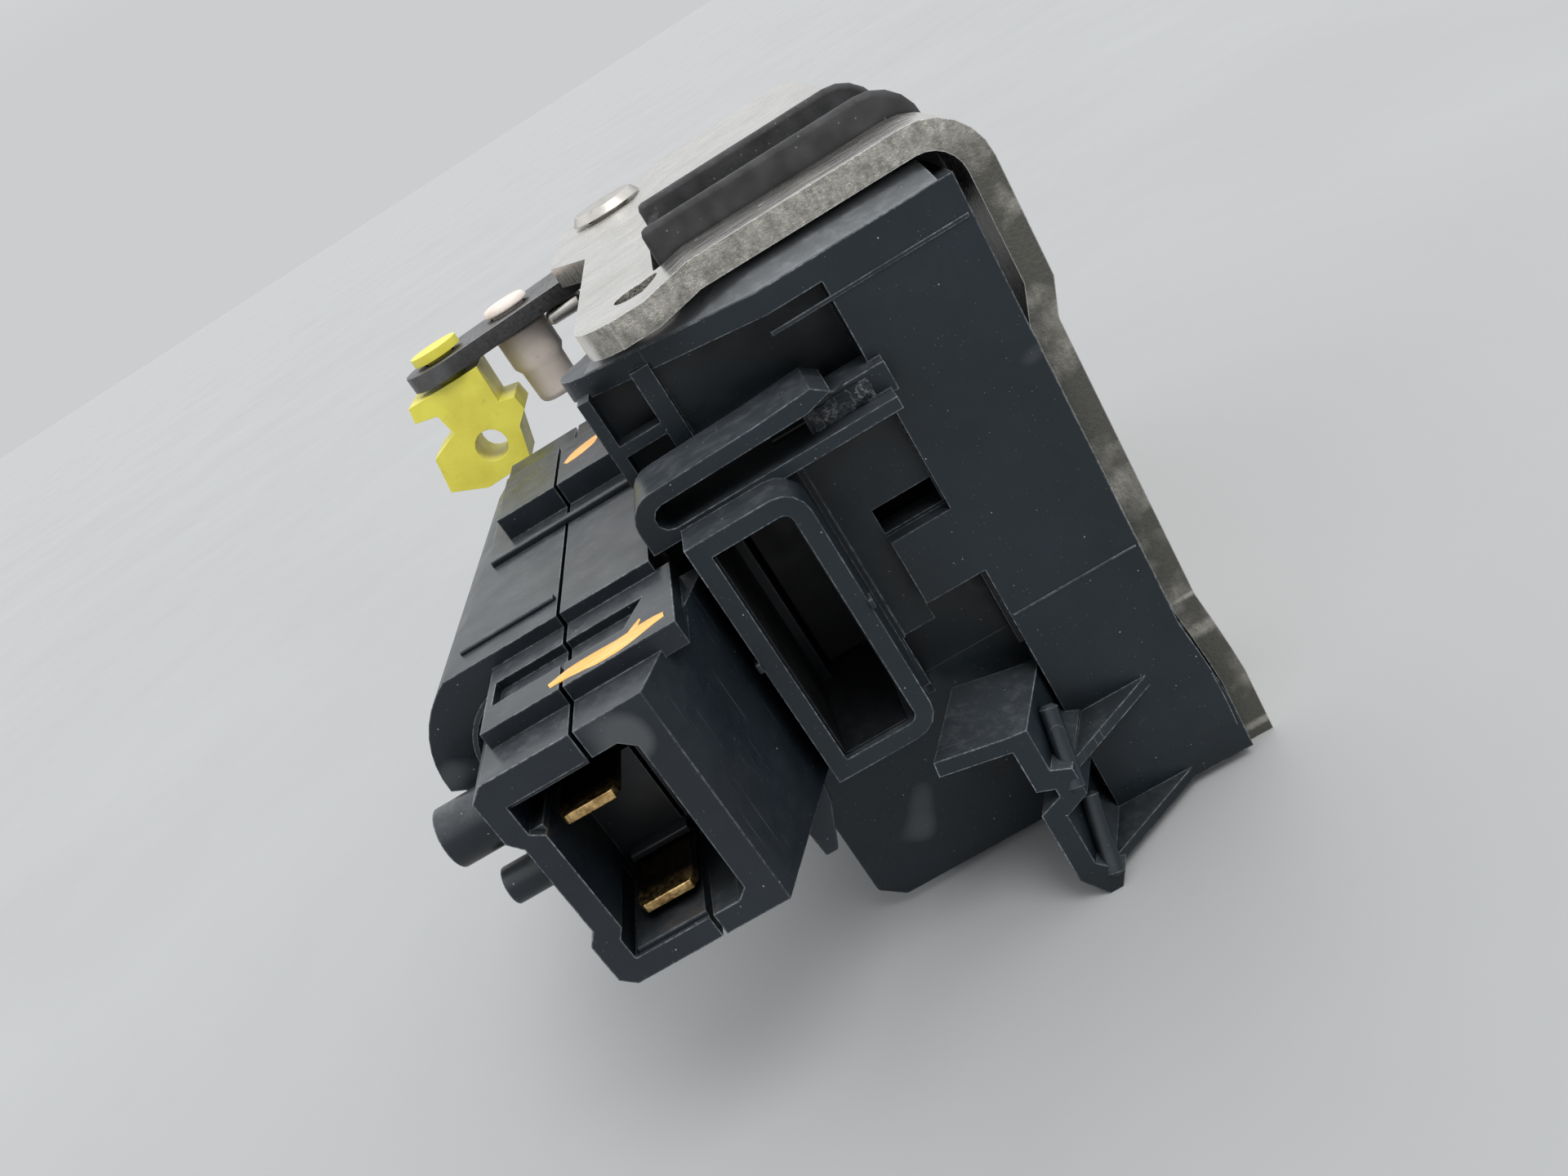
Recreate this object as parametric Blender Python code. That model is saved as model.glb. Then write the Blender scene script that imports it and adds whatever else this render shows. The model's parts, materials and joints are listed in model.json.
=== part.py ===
"""Car side-door latch with its electric lock actuator.

Every size is in millimetres, measured from the middle of the connector's mouth: +X towards the
steel faceplate, +Y into the door, +Z towards the plate's folded flange. SEAT is the middle of the
faceplate's lower seating pad, and it becomes the model's own origin.
"""

import math

import bmesh
import bpy
from mathutils import Matrix, Vector

MM = 0.001
GAP = 0.3

# Steel faceplate, an L in cross-section
PAD_X = 44.4
PLATE_T = 2.2
PLATE_DISH = 1.0
FOOT_SWEEP = ((0.0, -17.4), (0.45, -20.8), (0.8, -24.0), (PLATE_DISH, -26.4))
PLATE_Y = (20.0, 100.0)
PLATE_Z = (-33.0, 26.7)
FLANGE_LEFT = 12.0
BEND_R = 5.0
SEAT = Vector((PAD_X, 60.0, -28.5))
SCREW_HOLES = ((31.0, -28.5), (89.0, -28.5), (80.0, 17.0))
SCREW_HOLE_R = 2.6

# Striker slot
SLOT_Y = 36.6
SLOT_HALF = 9.2
LIP_T = 1.6
SLOT_BOTTOM = -5.0
SLOT_LEFT = 21.0

# Latch case
CASE_X = (29.5, 40.9)
CASE_Y = (18.0, 98.0)
CASE_Z = (-32.0, 21.0)
CASE_WALL = 2.5
RIM_Z = (20.9, 22.7)

# Claw and pawl, in the plane across X
CLAW_PIVOT = (52.5, -3.0)
CLAW_X = (35.0, 39.4)
CLAW_R = 21.2
CLAW_RIM_R = 17.0
CLAW_NOTCH_R = 13.0
CLAW_HUB_R = 10.5
CLAW_OPEN = 60.0
STRIKER = (37.0, 2.0)
STRIKER_HALF = 5.3
PAWL_PIVOT = (79.0, -19.0)
PAWL_NOSE_ANGLE = 292.0
PAWL_NOSE_R = 2.6
PAWL_POST = (70.0, -20.6)

# Levers on the inner side
COVER_X = (12.9, 14.4)
LOCK_PIVOT = (76.0, -5.2)
INSIDE_PIVOT = (62.0, -18.0)
OUTSIDE_PIVOT = (14.5, 88.0)
OUTSIDE_Z = (21.2, 23.2)
LEVER_END = (-10.0, 78.0)
BUSH = (-1.0, 81.5)
RELEASE_X = (23.0, 25.0)
INSIDE_X = (20.0, 22.0)
LOCK_X = (17.4, 19.4)
ARM_X = (14.9, 16.9)
INNER_PLATE_X = (26.9, 28.9)

# Actuator
SEAM_X = 1.15
HOUSING_Y = (14.0, 64.0)
BLADES = ((-1.65, 2.4), (-1.15, -6.7))
HOUSING_SCREWS = ((66.6, 4.2), (19.4, -10.6), (66.6, -9.2))
HOUSING_TOP = 11.2
HOUSING_RIGHT = 8.9
WALL = 1.5
MOTOR = (-5.0, 3.4)
MOTOR_R = 6.0
WHEEL = (50.0, -5.2)
WHEEL_TEETH = 14
WORM_LEAD = 2.4
WORM_PITCH_R = 3.2
THREAD_DEPTH = 1.0
WHEEL_X = (-5.4, -2.4)
UNLOCKED = -25.0
LOCK_RATIO = -0.74

BLACK = (0.018, 0.021, 0.026)


# ---------------------------------------------------------------- materials

def material(name, colour, roughness, metallic=0.0):
    made = bpy.data.materials.get(name)
    if made:
        return made
    made = bpy.data.materials.new(name)
    made.use_nodes = True
    shader = made.node_tree.nodes["Principled BSDF"]
    shader.inputs["Base Color"].default_value = (*colour, 1.0)
    shader.inputs["Roughness"].default_value = roughness
    shader.inputs["Metallic"].default_value = metallic
    made.diffuse_color = (*colour, 1.0)
    return made


def case_plastic():
    return material("case_plastic", BLACK, 0.42)


def housing_plastic():
    return material("housing_plastic", (0.022, 0.025, 0.030), 0.36)


def plated_steel():
    return material("plated_steel", (0.62, 0.60, 0.56), 0.34, 1.0)


def dark_steel():
    return material("dark_steel", (0.30, 0.30, 0.31), 0.42, 1.0)


def spring_steel():
    return material("spring_steel", (0.45, 0.45, 0.46), 0.30, 1.0)


def brass():
    return material("brass", (0.66, 0.50, 0.23), 0.34, 1.0)


def rubber():
    return material("rubber", (0.03, 0.03, 0.032), 0.8)


def yellow_plastic():
    return material("yellow_plastic", (0.80, 0.72, 0.10), 0.45)


def nylon():
    return material("nylon", (0.74, 0.70, 0.62), 0.5)


def gear_plastic():
    return material("gear_plastic", (0.70, 0.70, 0.66), 0.45)


# ---------------------------------------------------------------- outlines

def polar(centre, radius, degrees):
    angle = math.radians(degrees)
    return (centre[0] + radius * math.cos(angle), centre[1] + radius * math.sin(angle))


def arc(centre, radius, start, end, steps):
    return [polar(centre, radius, start + (end - start) * i / steps) for i in range(steps + 1)]


def circle(centre, radius, steps=24):
    return arc(centre, radius, 0.0, 360.0, steps)[:-1]


def rectangle(u, v):
    return [(u[0], v[0]), (u[1], v[0]), (u[1], v[1]), (u[0], v[1])]


def round_rectangle(u, v, radius, steps=4):
    corners = ((u[1], v[1], 0), (u[0], v[1], 90), (u[0], v[0], 180), (u[1], v[0], 270))
    points = []
    for cu, cv, start in corners:
        centre = (cu - math.copysign(radius, cu - sum(u) / 2), cv - math.copysign(radius, cv - sum(v) / 2))
        points += arc(centre, radius, start, start + 90, steps)
    return points


def capsule(a, b, radius_a, radius_b, steps=8):
    """The outline of a lever arm: a round end at a and another at b."""
    run = math.degrees(math.atan2(b[1] - a[1], b[0] - a[0]))
    reach = math.dist(a, b)
    lean = math.degrees(math.asin((radius_a - radius_b) / reach))
    near = arc(a, radius_a, run + 90 - lean, run + 270 + lean, steps)
    far = arc(b, radius_b, run - 90 + lean, run + 90 - lean, steps)
    return near + far


def turned_about(point, centre, degrees):
    angle = math.radians(degrees)
    du, dv = point[0] - centre[0], point[1] - centre[1]
    return (
        centre[0] + du * math.cos(angle) - dv * math.sin(angle),
        centre[1] + du * math.sin(angle) + dv * math.cos(angle),
    )


# ---------------------------------------------------------------- solids

def to_object(name, bm, finish, pivot=SEAT):
    """Close the mesh, put its origin on pivot and place it in the model's frame."""
    bmesh.ops.recalc_face_normals(bm, faces=bm.faces)
    bm.transform(Matrix.Scale(MM, 4) @ Matrix.Translation(-Vector(pivot)))
    mesh = bpy.data.meshes.new(name)
    bm.to_mesh(mesh)
    bm.free()
    mesh.materials.append(finish)
    mesh.shade_smooth()
    mesh.set_sharp_from_angle(angle=math.radians(35))
    made = bpy.data.objects.new(name, mesh)
    made.location = (Vector(pivot) - SEAT) * MM
    bpy.context.collection.objects.link(made)
    return made


def extruded(bm, outline, axis, low, high):
    """Extrude an outline along axis; it is (y, z) for X, (x, z) for Y and (x, y) for Z."""
    place = {
        "X": lambda u, v, w: (w, u, v),
        "Y": lambda u, v, w: (u, w, v),
        "Z": lambda u, v, w: (u, v, w),
    }[axis]
    start = [bm.verts.new(place(u, v, low)) for u, v in outline]
    end = [bm.verts.new(place(u, v, high)) for u, v in outline]
    bm.faces.new(start)
    bm.faces.new(end[::-1])
    for i, vert in enumerate(start):
        after = (i + 1) % len(start)
        bm.faces.new((vert, end[i], end[after], start[after]))


def prism(name, outline, axis, low, high, finish=None, pivot=SEAT):
    bm = bmesh.new()
    extruded(bm, outline, axis, low, high)
    return to_object(name, bm, finish or case_plastic(), pivot)


def box(name, x, y, z, finish=None, pivot=SEAT):
    return prism(name, rectangle(x, y), "Z", z[0], z[1], finish, pivot)


def lathe(name, axis, centre, profile, finish, pivot=SEAT, steps=24):
    """Turn a profile of (radius, distance along axis) points round the axis through centre."""
    bm = bmesh.new()
    place = {
        "X": lambda r, w, a: (w, centre[0] + r * math.cos(a), centre[1] + r * math.sin(a)),
        "Y": lambda r, w, a: (centre[0] + r * math.cos(a), w, centre[1] + r * math.sin(a)),
        "Z": lambda r, w, a: (centre[0] + r * math.cos(a), centre[1] + r * math.sin(a), w),
    }[axis]
    angles = [2 * math.pi * i / steps for i in range(steps)]
    rings = []
    for radius, distance in profile:
        if radius == 0:
            rings.append([bm.verts.new(place(0, distance, 0))])
        else:
            rings.append([bm.verts.new(place(radius, distance, a)) for a in angles])
    closed = profile[0][0] != 0
    pairs = list(zip(rings, rings[1:])) + ([(rings[-1], rings[0])] if closed else [])
    for one, two in pairs:
        for i in range(steps):
            j = (i + 1) % steps
            corners = {one[i % len(one)], one[j % len(one)], two[j % len(two)], two[i % len(two)]}
            ring = [one[i % len(one)], one[j % len(one)], two[j % len(two)], two[i % len(two)]]
            bm.faces.new([v for k, v in enumerate(ring) if v not in ring[:k]] if len(corners) < 4 else ring)
    return to_object(name, bm, finish, pivot)


def rod(name, axis, centre, radius, low, high, finish=None, pivot=SEAT, steps=24):
    return prism(name, circle(centre, radius, steps), axis, low, high, finish, pivot)


def swept_wire(name, path, wire, finish, pivot=SEAT, sides=6):
    """A round wire along a list of points, with flat ends."""
    bm = bmesh.new()
    path = [Vector(p) for p in path]
    rings = []
    up = Vector((0.31, 0.52, 0.79))
    for i, point in enumerate(path):
        ahead = (path[min(i + 1, len(path) - 1)] - path[max(i - 1, 0)]).normalized()
        side = ahead.cross(up).normalized()
        up = side.cross(ahead).normalized()
        ring = []
        for k in range(sides):
            angle = 2 * math.pi * k / sides
            ring.append(bm.verts.new(point + (side * math.cos(angle) + up * math.sin(angle)) * wire / 2))
        rings.append(ring)
    for one, two in zip(rings, rings[1:]):
        for k in range(sides):
            j = (k + 1) % sides
            bm.faces.new((one[k], one[j], two[j], two[k]))
    bm.faces.new(rings[0][::-1])
    bm.faces.new(rings[-1])
    return to_object(name, bm, finish, pivot)


def torsion_spring(name, axis, centre, radius, wire, low, turns, pitch, legs, finish, per_turn=14):
    """A coil about axis that starts at low, with a straight leg of a stated length at each end."""
    place = {
        "X": lambda u, v, w: (w, u, v),
        "Z": lambda u, v, w: (u, v, w),
    }[axis]
    count = int(turns * per_turn)
    path = []
    for i in range(count + 1):
        u, v = polar(centre, radius, 360.0 * i / per_turn)
        path.append(place(u, v, low + pitch * i / per_turn))
    first_way = (Vector(path[0]) - Vector(path[1])).normalized()
    last_way = (Vector(path[-1]) - Vector(path[-2])).normalized()
    path.insert(0, Vector(path[0]) + first_way * legs[0])
    path.append(Vector(path[-1]) + last_way * legs[1])
    return swept_wire(name, path, wire, finish)


def combine(target, tool, operation):
    """Leave a Boolean on target, and keep its tool as a hidden guide."""
    modifier = target.modifiers.new(tool.name, "BOOLEAN")
    modifier.operation = operation
    modifier.solver = "EXACT"
    modifier.object = tool
    tool.hide_render = True
    tool.display_type = "WIRE"


def add(target, *tools):
    for tool in tools:
        combine(target, tool, "UNION")


def cut(target, *tools):
    for tool in tools:
        combine(target, tool, "DIFFERENCE")


# ---------------------------------------------------------------- steel faceplate

def plate_section():
    """The L with its two raised pads and its dished middle, outer line first."""
    dished = PAD_X - PLATE_DISH
    top = PLATE_Z[1]
    outer = [(FLANGE_LEFT - 6.0, top - 0.8), (18.0, top - 0.8), (22.0, top)]
    outer += arc((PAD_X - BEND_R, top - BEND_R), BEND_R, 90, 0, 6)
    outer += [(PAD_X, 12.0), (dished, 9.0)] + [(dished + out, z) for out, z in FOOT_SWEEP]
    outer += [(PAD_X, PLATE_Z[0])]
    inner = [(PAD_X - PLATE_T, PLATE_Z[0])]
    inner += [(dished + out - PLATE_T, z - 0.2) for out, z in reversed(FOOT_SWEEP)]
    inner += [(dished - PLATE_T, 9.6), (PAD_X - PLATE_T, 12.6)]
    inner += arc((PAD_X - BEND_R, top - BEND_R), BEND_R - PLATE_T, 0, 90, 6)
    inner += [(22.0, top - PLATE_T), (18.0, top - 0.8 - PLATE_T), (FLANGE_LEFT - 6.0, top - 0.8 - PLATE_T)]
    return outer + inner


def flange_trim():
    """Plan outline of what is cut off the flange's free side: round near corner, wide far end."""
    left = FLANGE_LEFT - 8.0
    points = [(left, 18.0), (FLANGE_LEFT + 3.0, 18.0), (FLANGE_LEFT + 3.0, 19.9)]
    points += arc((FLANGE_LEFT + 4.0, 24.0), 4.0, 255, 180, 5)
    points += [(FLANGE_LEFT, 60.0), (FLANGE_LEFT - 4.5, 68.0), (FLANGE_LEFT - 4.5, 96.0)]
    points += [(FLANGE_LEFT, 100.5), (left, 100.5)]
    return points


def slot_outline(half, bottom, top, steps=12):
    return [(SLOT_Y + half, top), (SLOT_Y - half, top)] + arc(
        (SLOT_Y, bottom + half), half, 180, 360, steps
    )


def make_faceplate():
    plate = prism("faceplate", plate_section(), "Y", *PLATE_Y, plated_steel())
    cut(plate, prism("flange_trim", flange_trim(), "Z", 20.0, 30.0))
    slot = prism("plate_slot", slot_outline(SLOT_HALF, SLOT_BOTTOM, 30.0), "X", 36.0, 48.0)
    throat = prism(
        "flange_slot",
        round_rectangle((SLOT_LEFT - 1.8, 56.0), (SLOT_Y - SLOT_HALF, SLOT_Y + SLOT_HALF), 1.0),
        "Z", 18.0, 30.0,
    )
    cut(plate, slot, throat)
    for i, (y, z) in enumerate(SCREW_HOLES):
        cut(plate, rod(f"plate_hole_{i}", "X", (y, z), SCREW_HOLE_R, 38.0, 48.0))
    for i, (pivot, radius) in enumerate(((CLAW_PIVOT, 4.3), (PAWL_PIVOT, 3.3))):
        cut(plate, rod(f"plate_rivet_hole_{i}", "X", pivot, radius, 38.0, 48.0))
    cut(plate, rod("pawl_rivet_seat", "X", PAWL_PIVOT, 4.65, PAD_X - PLATE_DISH, 48.0))
    for i, (centre, radius) in enumerate(((OUTSIDE_PIVOT, 2.8), ((17.5, 26.0), 2.0), ((32.0, 62.0), 2.0))):
        cut(plate, rod(f"flange_hole_{i}", "Z", centre, radius, 20.0, 30.0))
    return plate


# ---------------------------------------------------------------- black latch case

def rim_outline():
    """Plan of the thin top rim: straight at the right, falling back to a round left end."""
    points = [(40.9, 18.0), (40.9, 98.0), (27.0, 98.0), (27.0, 50.0), (20.0, 48.0)]
    points += arc((12.0, 28.5), 3.6, 120, 240, 6)
    return points + [(25.0, 18.0)]


def make_claw_box(case):
    cavity_y = (CASE_Y[0] + CASE_WALL, CASE_Y[1] - CASE_WALL)
    cavity_z = (CASE_Z[0] + CASE_WALL, CASE_Z[1] - CASE_WALL)
    cut(case, box("claw_cavity", (CASE_X[0] + CASE_WALL, 45.0), cavity_y, cavity_z))


def make_front_wall(case):
    """The walls around the connector's side of the latch, seen past the actuator."""
    add(
        case,
        box("rim_wall", (14.6, 31.0), (23.5, 26.5), (11.0, 21.5)),
        box("mid_wall", (20.6, 31.0), (19.5, 22.0), (-13.0, 12.4)),
        box("left_wall", (9.3, 21.5), (19.2, 22.0), (-12.0, 12.2)),
        box("raised_block", (24.3, 30.5), (18.0, 20.5), (-5.0, 1.0)),
        box("corner_block", (23.5, 30.5), (16.4, 20.5), (11.8, 14.2)),
        box("window_post", (9.4, 10.4), (22.5, 24.6), (11.0, 21.5)),
        box("window_bar", (9.4, 15.4), (22.5, 24.6), (16.2, 17.2)),
        box("window_side", (14.0, 15.6), (22.5, 26.0), (11.0, 21.5)),
        box("window_back", (9.4, 31.0), (26.2, 27.6), (11.0, 21.5)),
        box("rear_wall", (12.6, 31.0), (95.2, 98.0), (-32.0, 21.5)),
        box("under_wall", (12.6, 31.0), (24.0, 97.0), (-32.0, -30.4)),
    )
    cut(
        case,
        box("small_window", (24.3, 29.4), (15.0, 23.0), (1.3, 3.5)),
        box("lower_window", (24.3, 29.1), (15.0, 23.0), (-13.5, -5.4)),
        box("lower_window_left", (21.3, 24.5), (15.0, 23.0), (-13.5, -7.2)),
    )


def loop_outline():
    """The long lug: a bottom bar, a round left end and a free top bar."""
    outer = [(30.0, 11.2), (30.0, 12.2), (12.0, 12.2)]
    inner_end = arc((11.9, 13.2), 1.0, 270, 90, 5)
    top = [(24.0, 14.4), (26.2, 15.0), (25.0, 15.9), (20.0, 15.6)]
    outer_end = arc((11.6, 13.2), 2.2, 90, 180, 5)
    return outer + inner_end + top + outer_end + [(9.4, 11.2)]


def tube_outline(grow):
    x = (12.0 - grow, 21.0 + grow)
    z = (-10.3 - grow, 11.8 + grow)
    radius = 2.2 + grow
    points = arc((x[1] - radius, z[1] - radius), radius, 0, 90, 4)
    points += [(x[0], z[1]), (x[0], z[0])]
    return points + arc((x[1] - radius, z[0] + radius), radius, 270, 360, 4)


def make_case_foot(case):
    """Fills the step behind the faceplate's lower pad, with room for the door screws."""
    section = [(CASE_X[1] + out, z - 0.5) for out, z in FOOT_SWEEP]
    section += [(CASE_X[1] + PLATE_DISH, CASE_Z[0]), (40.0, CASE_Z[0]), (40.0, FOOT_SWEEP[0][1] - 0.5)]
    add(case, prism("case_foot", section, "Y", *CASE_Y))


def make_guide_tube(case):
    add(case, prism("guide_tube", tube_outline(0.0), "Y", 10.0, 21.0))
    cut(case, prism("guide_tube_bore", tube_outline(-1.45), "Y", 9.0, 26.0))


def buttress_outline():
    """Section of the folded wall below the tube: lip, wall, key notch, wall and hook."""
    return [
        (18.6, -13.8), (24.4, -15.1), (26.0, -15.3), (26.0, -19.6), (27.6, -20.4), (27.6, -23.2),
        (25.4, -24.2), (25.4, -29.6), (27.2, -31.6), (26.4, -33.0), (25.2, -33.0), (23.6, -30.4),
        (23.6, -23.0),
        (25.6, -22.2), (25.6, -21.4), (24.2, -20.8), (24.2, -16.5), (18.4, -15.2),
    ]


def slanted(name, outline, y, lean):
    """Extrude an (x, z) outline from y[0] to y[1] while it slides by lean in X."""
    bm = bmesh.new()
    near = [bm.verts.new((u, y[0], v)) for u, v in outline]
    far = [bm.verts.new((u + lean, y[1], v)) for u, v in outline]
    bm.faces.new(near)
    bm.faces.new(far[::-1])
    for i, vert in enumerate(near):
        after = (i + 1) % len(near)
        bm.faces.new((vert, far[i], far[after], near[after]))
    return to_object(name, bm, case_plastic())


def make_buttress(case):
    add(
        case,
        slanted("buttress", buttress_outline(), (11.5, 20.0), 3.9),
        prism("gusset_high", [(26.8, 11.9), (37.6, 18.6), (29.5, 18.6)], "Z", -21.6, -20.6),
        prism("gusset_low", [(25.8, 11.9), (37.6, 18.6), (28.0, 18.6)], "Z", -31.9, -30.9),
    )


def make_striker_pocket(case):
    inside = (SLOT_Y - SLOT_HALF, SLOT_Y + SLOT_HALF)
    add(case, box("pocket_box", (17.7, 31.0), (inside[0] - 1.6, inside[1] + 1.8), (-10.2, 21.8)))
    cut(
        case,
        box("pocket", (19.3, 33.0), inside, (-8.6, 30.0)),
        box("top_slot", (19.3, 45.0), inside, (17.0, 30.0)),
    )


def make_latch_case():
    case = box("latch_case", CASE_X, CASE_Y, CASE_Z)
    add(case, prism("case_rim", rim_outline(), "Z", *RIM_Z))
    make_front_wall(case)
    add(case, prism("loop_lug", loop_outline(), "Y", 14.0, 20.5))
    make_guide_tube(case)
    make_buttress(case)
    make_striker_pocket(case)
    make_case_foot(case)
    make_claw_box(case)
    for i, centre in enumerate(SCREW_HOLES):
        cut(case, rod(f"case_screw_room_{i}", "X", centre, SCREW_HOLE_R + 0.4, 34.0, 43.0))
    floor = (28.0, 33.5)
    cut(
        case,
        rod("case_claw_hole", "X", CLAW_PIVOT, 4.3, *floor),
        rod("case_pawl_hole", "X", PAWL_PIVOT, 3.3, *floor),
        prism("case_post_slot", round_rectangle((66.6, 72.6), (-25.4, -17.6), 2.0), "X", *floor),
    )
    return case


def make_striker_guide():
    """Rubber-like lining of the striker slot; its lips stand above the flange and wrap the bend."""
    lip = [(19.8, -8.2), (32.5, -8.2), (32.5, 18.8), (42.4, 18.8)]
    lip += arc((38.6, 25.2), 3.9, 0, 90, 5) + [(19.8, 29.1)]
    near, far = SLOT_Y - SLOT_HALF + GAP, SLOT_Y + SLOT_HALF - GAP
    guide = prism("striker_guide", lip, "Y", near, near + LIP_T, rubber())
    add(
        guide,
        prism("far_lip", lip, "Y", far - LIP_T, far),
        box("guide_floor", (19.8, 32.5), (near + 0.5, far - 0.5), (-8.2, -7.0)),
        box("guide_back", (19.8, 20.9), (near + 0.5, far - 0.5), (-8.2, 27.5)),
    )
    return guide


def make_bumper():
    return prism(
        "striker_bumper", round_rectangle((31.4, 42.6), (-6.6, -3.2), 1.2), "X", 21.2, 31.8, rubber()
    )


# ---------------------------------------------------------------- claw and pawl

def claw_outline(shrink=0.0):
    """The fork in its latched position, turned back to the open one it rests in."""
    slot_top = STRIKER[1] + STRIKER_HALF + shrink
    slot_low = STRIKER[1] - STRIKER_HALF - shrink
    reach = CLAW_R - shrink

    def rim_point(level):
        return CLAW_PIVOT[0] - math.sqrt(reach ** 2 - (level - CLAW_PIVOT[1]) ** 2)

    def bearing(point):
        return math.degrees(math.atan2(point[1] - CLAW_PIVOT[1], point[0] - CLAW_PIVOT[0])) % 360

    upper_tip = (rim_point(slot_top), slot_top)
    lower_tip = (rim_point(slot_low), slot_low)
    points = arc(CLAW_PIVOT, reach, 108, bearing(upper_tip), 6)
    points += arc(STRIKER, STRIKER_HALF + shrink, 90, -90, 8)
    points += arc(CLAW_PIVOT, reach, bearing(lower_tip), 228, 6)
    points += arc(CLAW_PIVOT, CLAW_NOTCH_R - shrink, 236, 299, 6)
    points += arc(CLAW_PIVOT, CLAW_RIM_R - shrink, 301, 366, 6)
    points += arc(CLAW_PIVOT, CLAW_HUB_R - shrink, 376, 448, 6)
    return [turned_about(p, CLAW_PIVOT, -CLAW_OPEN) for p in points]


def pivot_3d(pivot, x=0.0):
    return Vector((x, pivot[0], pivot[1]))


def make_claw():
    hinge = pivot_3d(CLAW_PIVOT, CLAW_X[0])
    claw = prism("claw", claw_outline(), "X", *CLAW_X, dark_steel(), hinge)
    cut(claw, rod("claw_bore", "X", CLAW_PIVOT, 4.35, 33.0, 42.0))
    jacket = prism("claw_jacket", claw_outline(0.8), "X", 39.7, 40.9, case_plastic(), hinge)
    cut(jacket, rod("jacket_bore", "X", CLAW_PIVOT, 6.9, 33.0, 44.0))
    return claw, jacket


def make_pawl():
    hinge = pivot_3d(PAWL_PIVOT, CLAW_X[0])
    nose = polar(CLAW_PIVOT, CLAW_RIM_R + 0.35 + PAWL_NOSE_R, PAWL_NOSE_ANGLE)
    pawl = prism("pawl", capsule(PAWL_PIVOT, nose, 5.4, PAWL_NOSE_R), "X", *CLAW_X, dark_steel(), hinge)
    cut(pawl, rod("pawl_bore", "X", PAWL_PIVOT, 3.35, 33.0, 42.0))
    cut(pawl, rod("pawl_post_hole", "X", PAWL_POST, 2.1, 33.0, 42.0))
    post = rod("pawl_post", "X", PAWL_POST, 1.8, 22.2, 39.2, dark_steel(), hinge, 16)
    return pawl, post


def make_rivets():
    claw_rivet = lathe(
        "claw_rivet", "X", CLAW_PIVOT,
        [(0, 26.0), (3.9, 26.0), (3.9, 43.0), (3.9, 43.75), (6.4, 43.75), (5.6, 44.35), (0, 44.35)],
        plated_steel(),
    )
    pawl_rivet = lathe(
        "pawl_rivet", "X", PAWL_PIVOT,
        [(0, 13.2), (2.9, 13.2), (2.9, 43.75), (4.3, 43.75), (3.6, 44.35), (0, 44.35)],
        plated_steel(),
    )
    return claw_rivet, pawl_rivet


def make_mechanism_springs():
    torsion_spring("claw_spring", "X", CLAW_PIVOT, 7.2, 0.8, 32.75, 1.5, 1.0, (2.0, 3.0), spring_steel())
    torsion_spring("pawl_spring", "X", PAWL_PIVOT, 4.4, 0.9, 15.2, 4.6, 1.15, (6.0, 5.0), spring_steel())
    torsion_spring("outside_spring", "Z", OUTSIDE_PIVOT, 4.2, 0.9, 15.9, 3.6, 1.1, (4.0, 5.0), spring_steel())


# ---------------------------------------------------------------- inner plate and levers

def make_inner_plate():
    outline = round_rectangle((48.6, 93.0), (-29.0, 8.0), 4.0)
    plate = prism("inner_plate", outline, "X", *INNER_PLATE_X, plated_steel())
    through = (25.0, 30.5)
    cut(
        plate,
        rod("inner_claw_hole", "X", CLAW_PIVOT, 4.3, *through),
        rod("inner_pawl_hole", "X", PAWL_PIVOT, 3.3, *through),
        rod("inner_lever_hole", "X", INSIDE_PIVOT, 2.6, *through),
        prism("inner_post_slot", round_rectangle((66.6, 72.6), (-25.4, -17.6), 2.0), "X", *through),
    )
    return plate


def make_lever_cover():
    cover = prism(
        "lever_cover", round_rectangle((22.4, 94.6), (-30.0, 18.5), 4.0), "X", *COVER_X, case_plastic()
    )
    through = (11.0, 16.0)
    cut(
        cover,
        rod("cover_output_hole", "X", WHEEL, 3.4, *through),
        rod("cover_pawl_hole", "X", PAWL_PIVOT, 3.2, *through),
        rod("cover_lever_hole", "X", INSIDE_PIVOT, 2.5, *through),
        rod("cover_lock_hole", "X", LOCK_PIVOT, 2.5, *through),
        box("cover_pocket_relief", through, (20.0, 31.0), (10.4, 22.0)),
        box("cover_lever_relief", through, (78.0, 96.0), (11.0, 22.0)),
    )
    add(
        cover,
        box("cover_rib_low", (10.4, 13.2), (30.0, 88.0), (-29.0, -27.8)),
        box("cover_rib_back", (10.4, 13.2), (66.5, 67.7), (-29.0, 16.0)),
    )
    return cover


def make_lever_pins():
    rod("inside_lever_pin", "X", INSIDE_PIVOT, 2.2, 13.2, 29.3, plated_steel(), SEAT, 18)
    rod("lock_lever_pin", "X", LOCK_PIVOT, 2.2, 13.2, 22.4, plated_steel(), SEAT, 18)


def make_release_lever():
    """Steel lever beside the inner plate; it carries the pawl's post with it."""
    hinge = pivot_3d(PAWL_PIVOT, RELEASE_X[0])
    arm = capsule(PAWL_PIVOT, (85.4, 14.0), 6.4, 2.8)
    foot = capsule(PAWL_PIVOT, PAWL_POST, 6.0, 4.6)
    lever = prism("release_lever", arm, "X", *RELEASE_X, plated_steel(), hinge)
    add(lever, prism("release_foot", foot, "X", *RELEASE_X, None, hinge))
    cut(
        lever,
        rod("release_bore", "X", PAWL_PIVOT, 3.2, 21.0, 27.0, None, hinge),
        rod("release_post_hole", "X", PAWL_POST, 2.15, 21.0, 27.0, None, hinge),
    )
    return lever


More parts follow.
